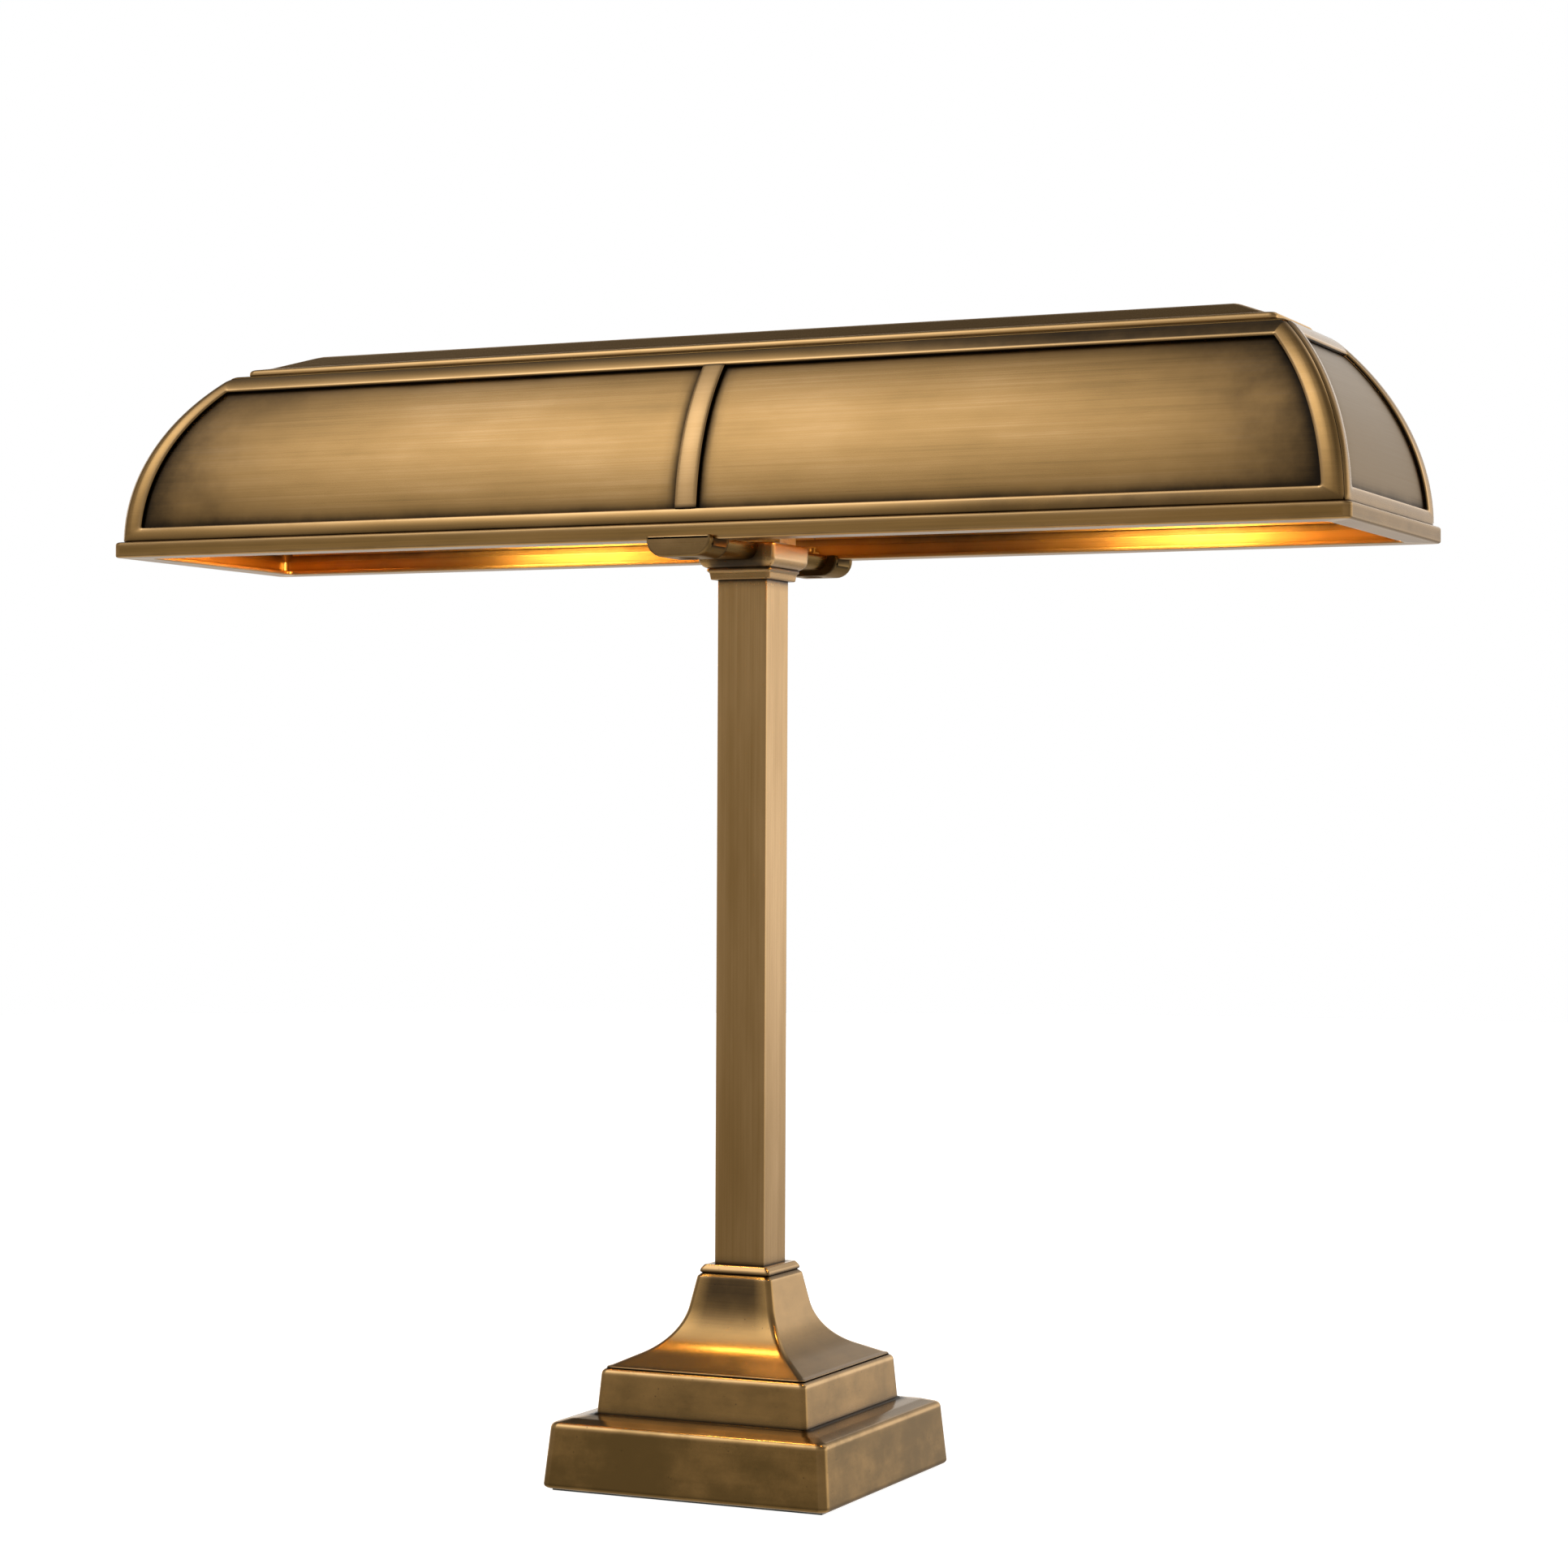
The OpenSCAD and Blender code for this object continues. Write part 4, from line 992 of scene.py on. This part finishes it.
SOLDER = plain("solder", (0.55, 0.55, 0.56), 1.0, 0.3, 1200, 0.2, 0.5)
GLASS = lamp_glass()
GLOW = glowing("filament_phosphor", (1.0, 0.56, 0.20, 1), 12.0)
WARM = (1.0, 0.66, 0.21)


def span_x(node):
    """Distances of a node's near and far end from the middle of the shade."""
    return sorted((abs(low(node, "x")), abs(high(node, "x"))))


def build_lamp(word, direction):
    """Screw cap, clear tube and glowing filaments of one lamp."""
    body = word + "_lamp"
    cap, glass = "cap_" + word, "glass_" + word
    height = (low(cap, "z") + high(cap, "z")) / 2
    near, far = span_x(cap)
    length, r = far - near, high(cap, "y")
    lines = [(0, 3.2), (0.2, 4.6), (1.6, 5.6), (2.2, r - 0.5), (2.6, r)]
    lines += [(a, r) for a in np.arange(2.8, 17.2, 0.2)]
    lines += [(17.4, r), (18.0, r), (18.3, r - 0.25), (18.9, r - 0.25), (19.3, r), (length - 0.3, r),
              (length, r - 0.3), (length, r - 0.8), (length - 6, r - 0.8), (length - 6, 0.5)]
    turned(cap, lines, direction * near, direction, height, BRIGHT_BRASS, [cap], body, "bright_brass",
           thread={"from": 2.7, "to": 17.3, "pitch": 2.822, "depth": 0.75})
    near, far = span_x(glass)
    length, r = far - near, high(glass, "y")
    skin = [(0, 3.0), (0.1, 6.3), (0.6, 6.6), (2.0, 6.7), (4.5, 8.6), (7.0, 11.2), (9.0, 12.5)]
    skin += [(11.0, r), *((a, r) for a in np.linspace(13, length - r, 8))]
    skin += [(length - r + r * math.sin(a), r * math.cos(a))
             for a in np.radians(np.linspace(8, 88, 14))]
    turned(glass, skin, direction * near, direction, height, GLASS, [glass], body, "clear_glass")
    light_lamp(word, direction, height, near, far)


def light_lamp(word, direction, height, near, far):
    """Warm light sources spread along the lamp's filaments."""
    for k, share in enumerate((0.45, 0.68, 0.90)):
        data = bpy.data.lights.new(f"{word}_glow_{k}", "POINT")
        data.energy, data.color, data.shadow_soft_size = 0.28, WARM, 0.011
        lamp = new_object(data.name, data)
        lamp.location = Vector((direction * (near + share * (far - near)), 0, height)) * MM
        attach(lamp, word + "_lamp")


# material and bevel width of the CAD nodes that show as they are
NODE_FINISH = {
    "felt_pad": (FELT, 0.4), "bottom_plate": (ZINC, 0.3), "base_weight": (IRON, 0.8),
    "plate_screws": (ZINC, 0.2), "threaded_rod": (ZINC, 0.3), "rod_nuts": (ZINC, 0.4),
    "rod_washers": (ZINC, 0.25), "cord_bushing": (RUBBER, 0.4), "terminal_block": (CERAMIC, 0.6),
    "flange_pads": (RUBBER, 0.3), "clamp_screws": (DARK_BRASS, 0.3), "clamp_nuts": (DARK_BRASS, 0.25),
    "holder_strap": (ZINC, 0.3), "nipple_nuts": (ZINC, 0.3)}
for kind, finish in (("nipple", (ZINC, 0.2)), ("holder", (PHENOLIC, 0.6)), ("insert", (CERAMIC, 0.3)),
                     ("sleeve", (BRIGHT_BRASS, 0.2)), ("lead", (LEAD, 0)), ("tip", (SOLDER, 0.2)),
                     ("filament", (GLOW, 0))):
    NODE_FINISH[kind + "_left"] = NODE_FINISH[kind + "_right"] = finish


def finish_nodes():
    """Gives the CAD nodes that show as they are their material and softened edges."""
    for name, (mat, edge) in NODE_FINISH.items():
        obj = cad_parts[name]
        obj.data.materials.clear()
        obj.data.materials.append(mat)
        if not edge:
            continue
        weld = obj.modifiers.new("weld", "WELD")
        weld.merge_threshold = 1e-6
        soft = obj.modifiers.new("edges", "BEVEL")
        soft.width, soft.segments = edge * MM, 2
        soft.limit_method, soft.angle_limit = "ANGLE", math.radians(40)
        soft.harden_normals = True


# ---- stage, light and camera ----


def build_floor():
    """Round white floor that stays white round the lamp's foot."""
    radius, sides = 4, 96
    turns = np.linspace(0, 2 * math.pi, sides, endpoint=False)
    ring = [(radius * math.cos(a), radius * math.sin(a), 0) for a in turns]
    mesh = bpy.data.meshes.new("floor")
    mesh.from_pydata(ring, [], [tuple(range(sides))])
    made, g = material("pale_floor")
    soft = g.noise(g.object_point(), 3, 2)
    tone = g.mix(g.remap(soft, 0.3, 0.7), (0.86, 0.86, 0.86, 1), (0.9, 0.9, 0.9, 1))
    g.principled({
        "Base Color": tone, "Roughness": 0.9, "Specular IOR Level": 0.0,
        "Emission Color": (1, 1, 1, 1), "Emission Strength": 0.93})
    mesh.materials.append(made)
    floor = new_object("floor", mesh)
    floor.visible_glossy = False


def build_world():
    """Soft studio surround: a broad key above front left, a bright sweep behind, grey elsewhere."""
    world = bpy.data.worlds.new("studio")
    bpy.context.scene.world = world
    g = Graph(world)
    at = g.add("ShaderNodeTexCoord").outputs["Generated"]
    axes = g.add("ShaderNodeSeparateXYZ", {0: at}).outputs
    x, y, z = axes[0], axes[1], axes[2]

    def lobe(direction, power, strength):
        aim = Vector(direction).normalized()
        dot = g.add("ShaderNodeVectorMath", {0: at, 1: aim}, operation="DOT_PRODUCT")
        spread = g.math("POWER", g.math("MAXIMUM", dot.outputs["Value"], 0.0), power)
        return g.times(spread, strength)

    def glow(colour, strength):
        return g.add("ShaderNodeBackground", {"Color": colour, "Strength": strength}).outputs[0]

    sky = g.remap(z, 0.1, 0.9, 0.30, 0.17)
    below = g.remap(z, -0.35, 0.0, 0.62, 1.0)
    floor = g.remap(z, -0.8, -0.35, 0.34, 0.0)
    room = g.times(sky, below, floor)
    bearing = g.math("DIVIDE", x, y)
    left_edge, right_edge = g.remap(x, -0.59, -0.50, 0.15, 1.0), g.remap(x, -0.26, -0.42, 0.30, 1.0)
    window = g.times(left_edge, right_edge)
    key = g.times(lobe((-0.44, -0.53, 0.72), 9, 1.55), window)
    key = g.math("ADD", key, lobe((0.34, 0.64, 0.69), 16, 0.7))
    upper, lower = g.remap(z, 0.26, 0.46, 1.0, 0.0), g.remap(z, -0.14, 0.0, 0.32, 1.0)
    sweep_up = g.times(upper, lower)
    gap = g.remap(g.math("ABSOLUTE", g.math("SUBTRACT", bearing, 0.23)), 0.06, 0.20, 0.45, 1.0)
    sweep_up = g.times(sweep_up, gap)
    sweep_light = g.times(g.times(sweep_up, g.remap(y, -0.1, 0.6)), 0.84)
    gloom = g.times(g.remap(y, 0.2, 0.7), g.remap(z, 0.36, 0.5))
    gloom = g.times(g.times(gloom, g.remap(x, 0.3, -0.1)), -0.7, 1.0)
    room = glow((1.0, 0.94, 0.84, 1), g.times(room, gloom))
    boxes = glow((1, 1, 1, 1), g.math("ADD", key, sweep_light))
    light = g.add("ShaderNodeAddShader", {0: room, 1: boxes})
    white = glow((1, 1, 1, 1), 1.0)
    seen = g.add("ShaderNodeLightPath").outputs["Is Camera Ray"]
    both = g.add("ShaderNodeMixShader", {0: seen, 1: light.outputs[0], 2: white})
    g.finish(both, "ShaderNodeOutputWorld")


def build_camera():
    """Camera fitted to the photo's edges: in front, to the right, and almost level."""
    place = (0.7182, -1.5170, 0.3096)
    heading, pitch, roll = (math.radians(angle) for angle in (24.825, 90 + 0.555, 0.253))
    data = bpy.data.cameras.new("camera")
    data.lens, data.sensor_width = 81.89, 36
    camera = new_object("camera", data)
    turn = (Matrix.Rotation(heading, 4, "Z") @ Matrix.Rotation(pitch, 4, "X")
            @ Matrix.Rotation(roll, 4, "Z"))
    camera.matrix_world = Matrix.Translation(place) @ turn
    bpy.context.scene.camera = camera


build_base()
build_column()
build_capital()
build_arm("arm_front", -1)
build_arm("arm_back", 1)
build_rim()
build_shade_frame()
build_panels()
build_mullion("mullion_front", Side(0))
build_mullion("mullion_back", Side(2))
build_crown()
build_lamp("left", -1)
build_lamp("right", 1)
finish_nodes()
build_floor()
build_world()
build_camera()
bpy.context.scene.view_settings.view_transform = "Standard"
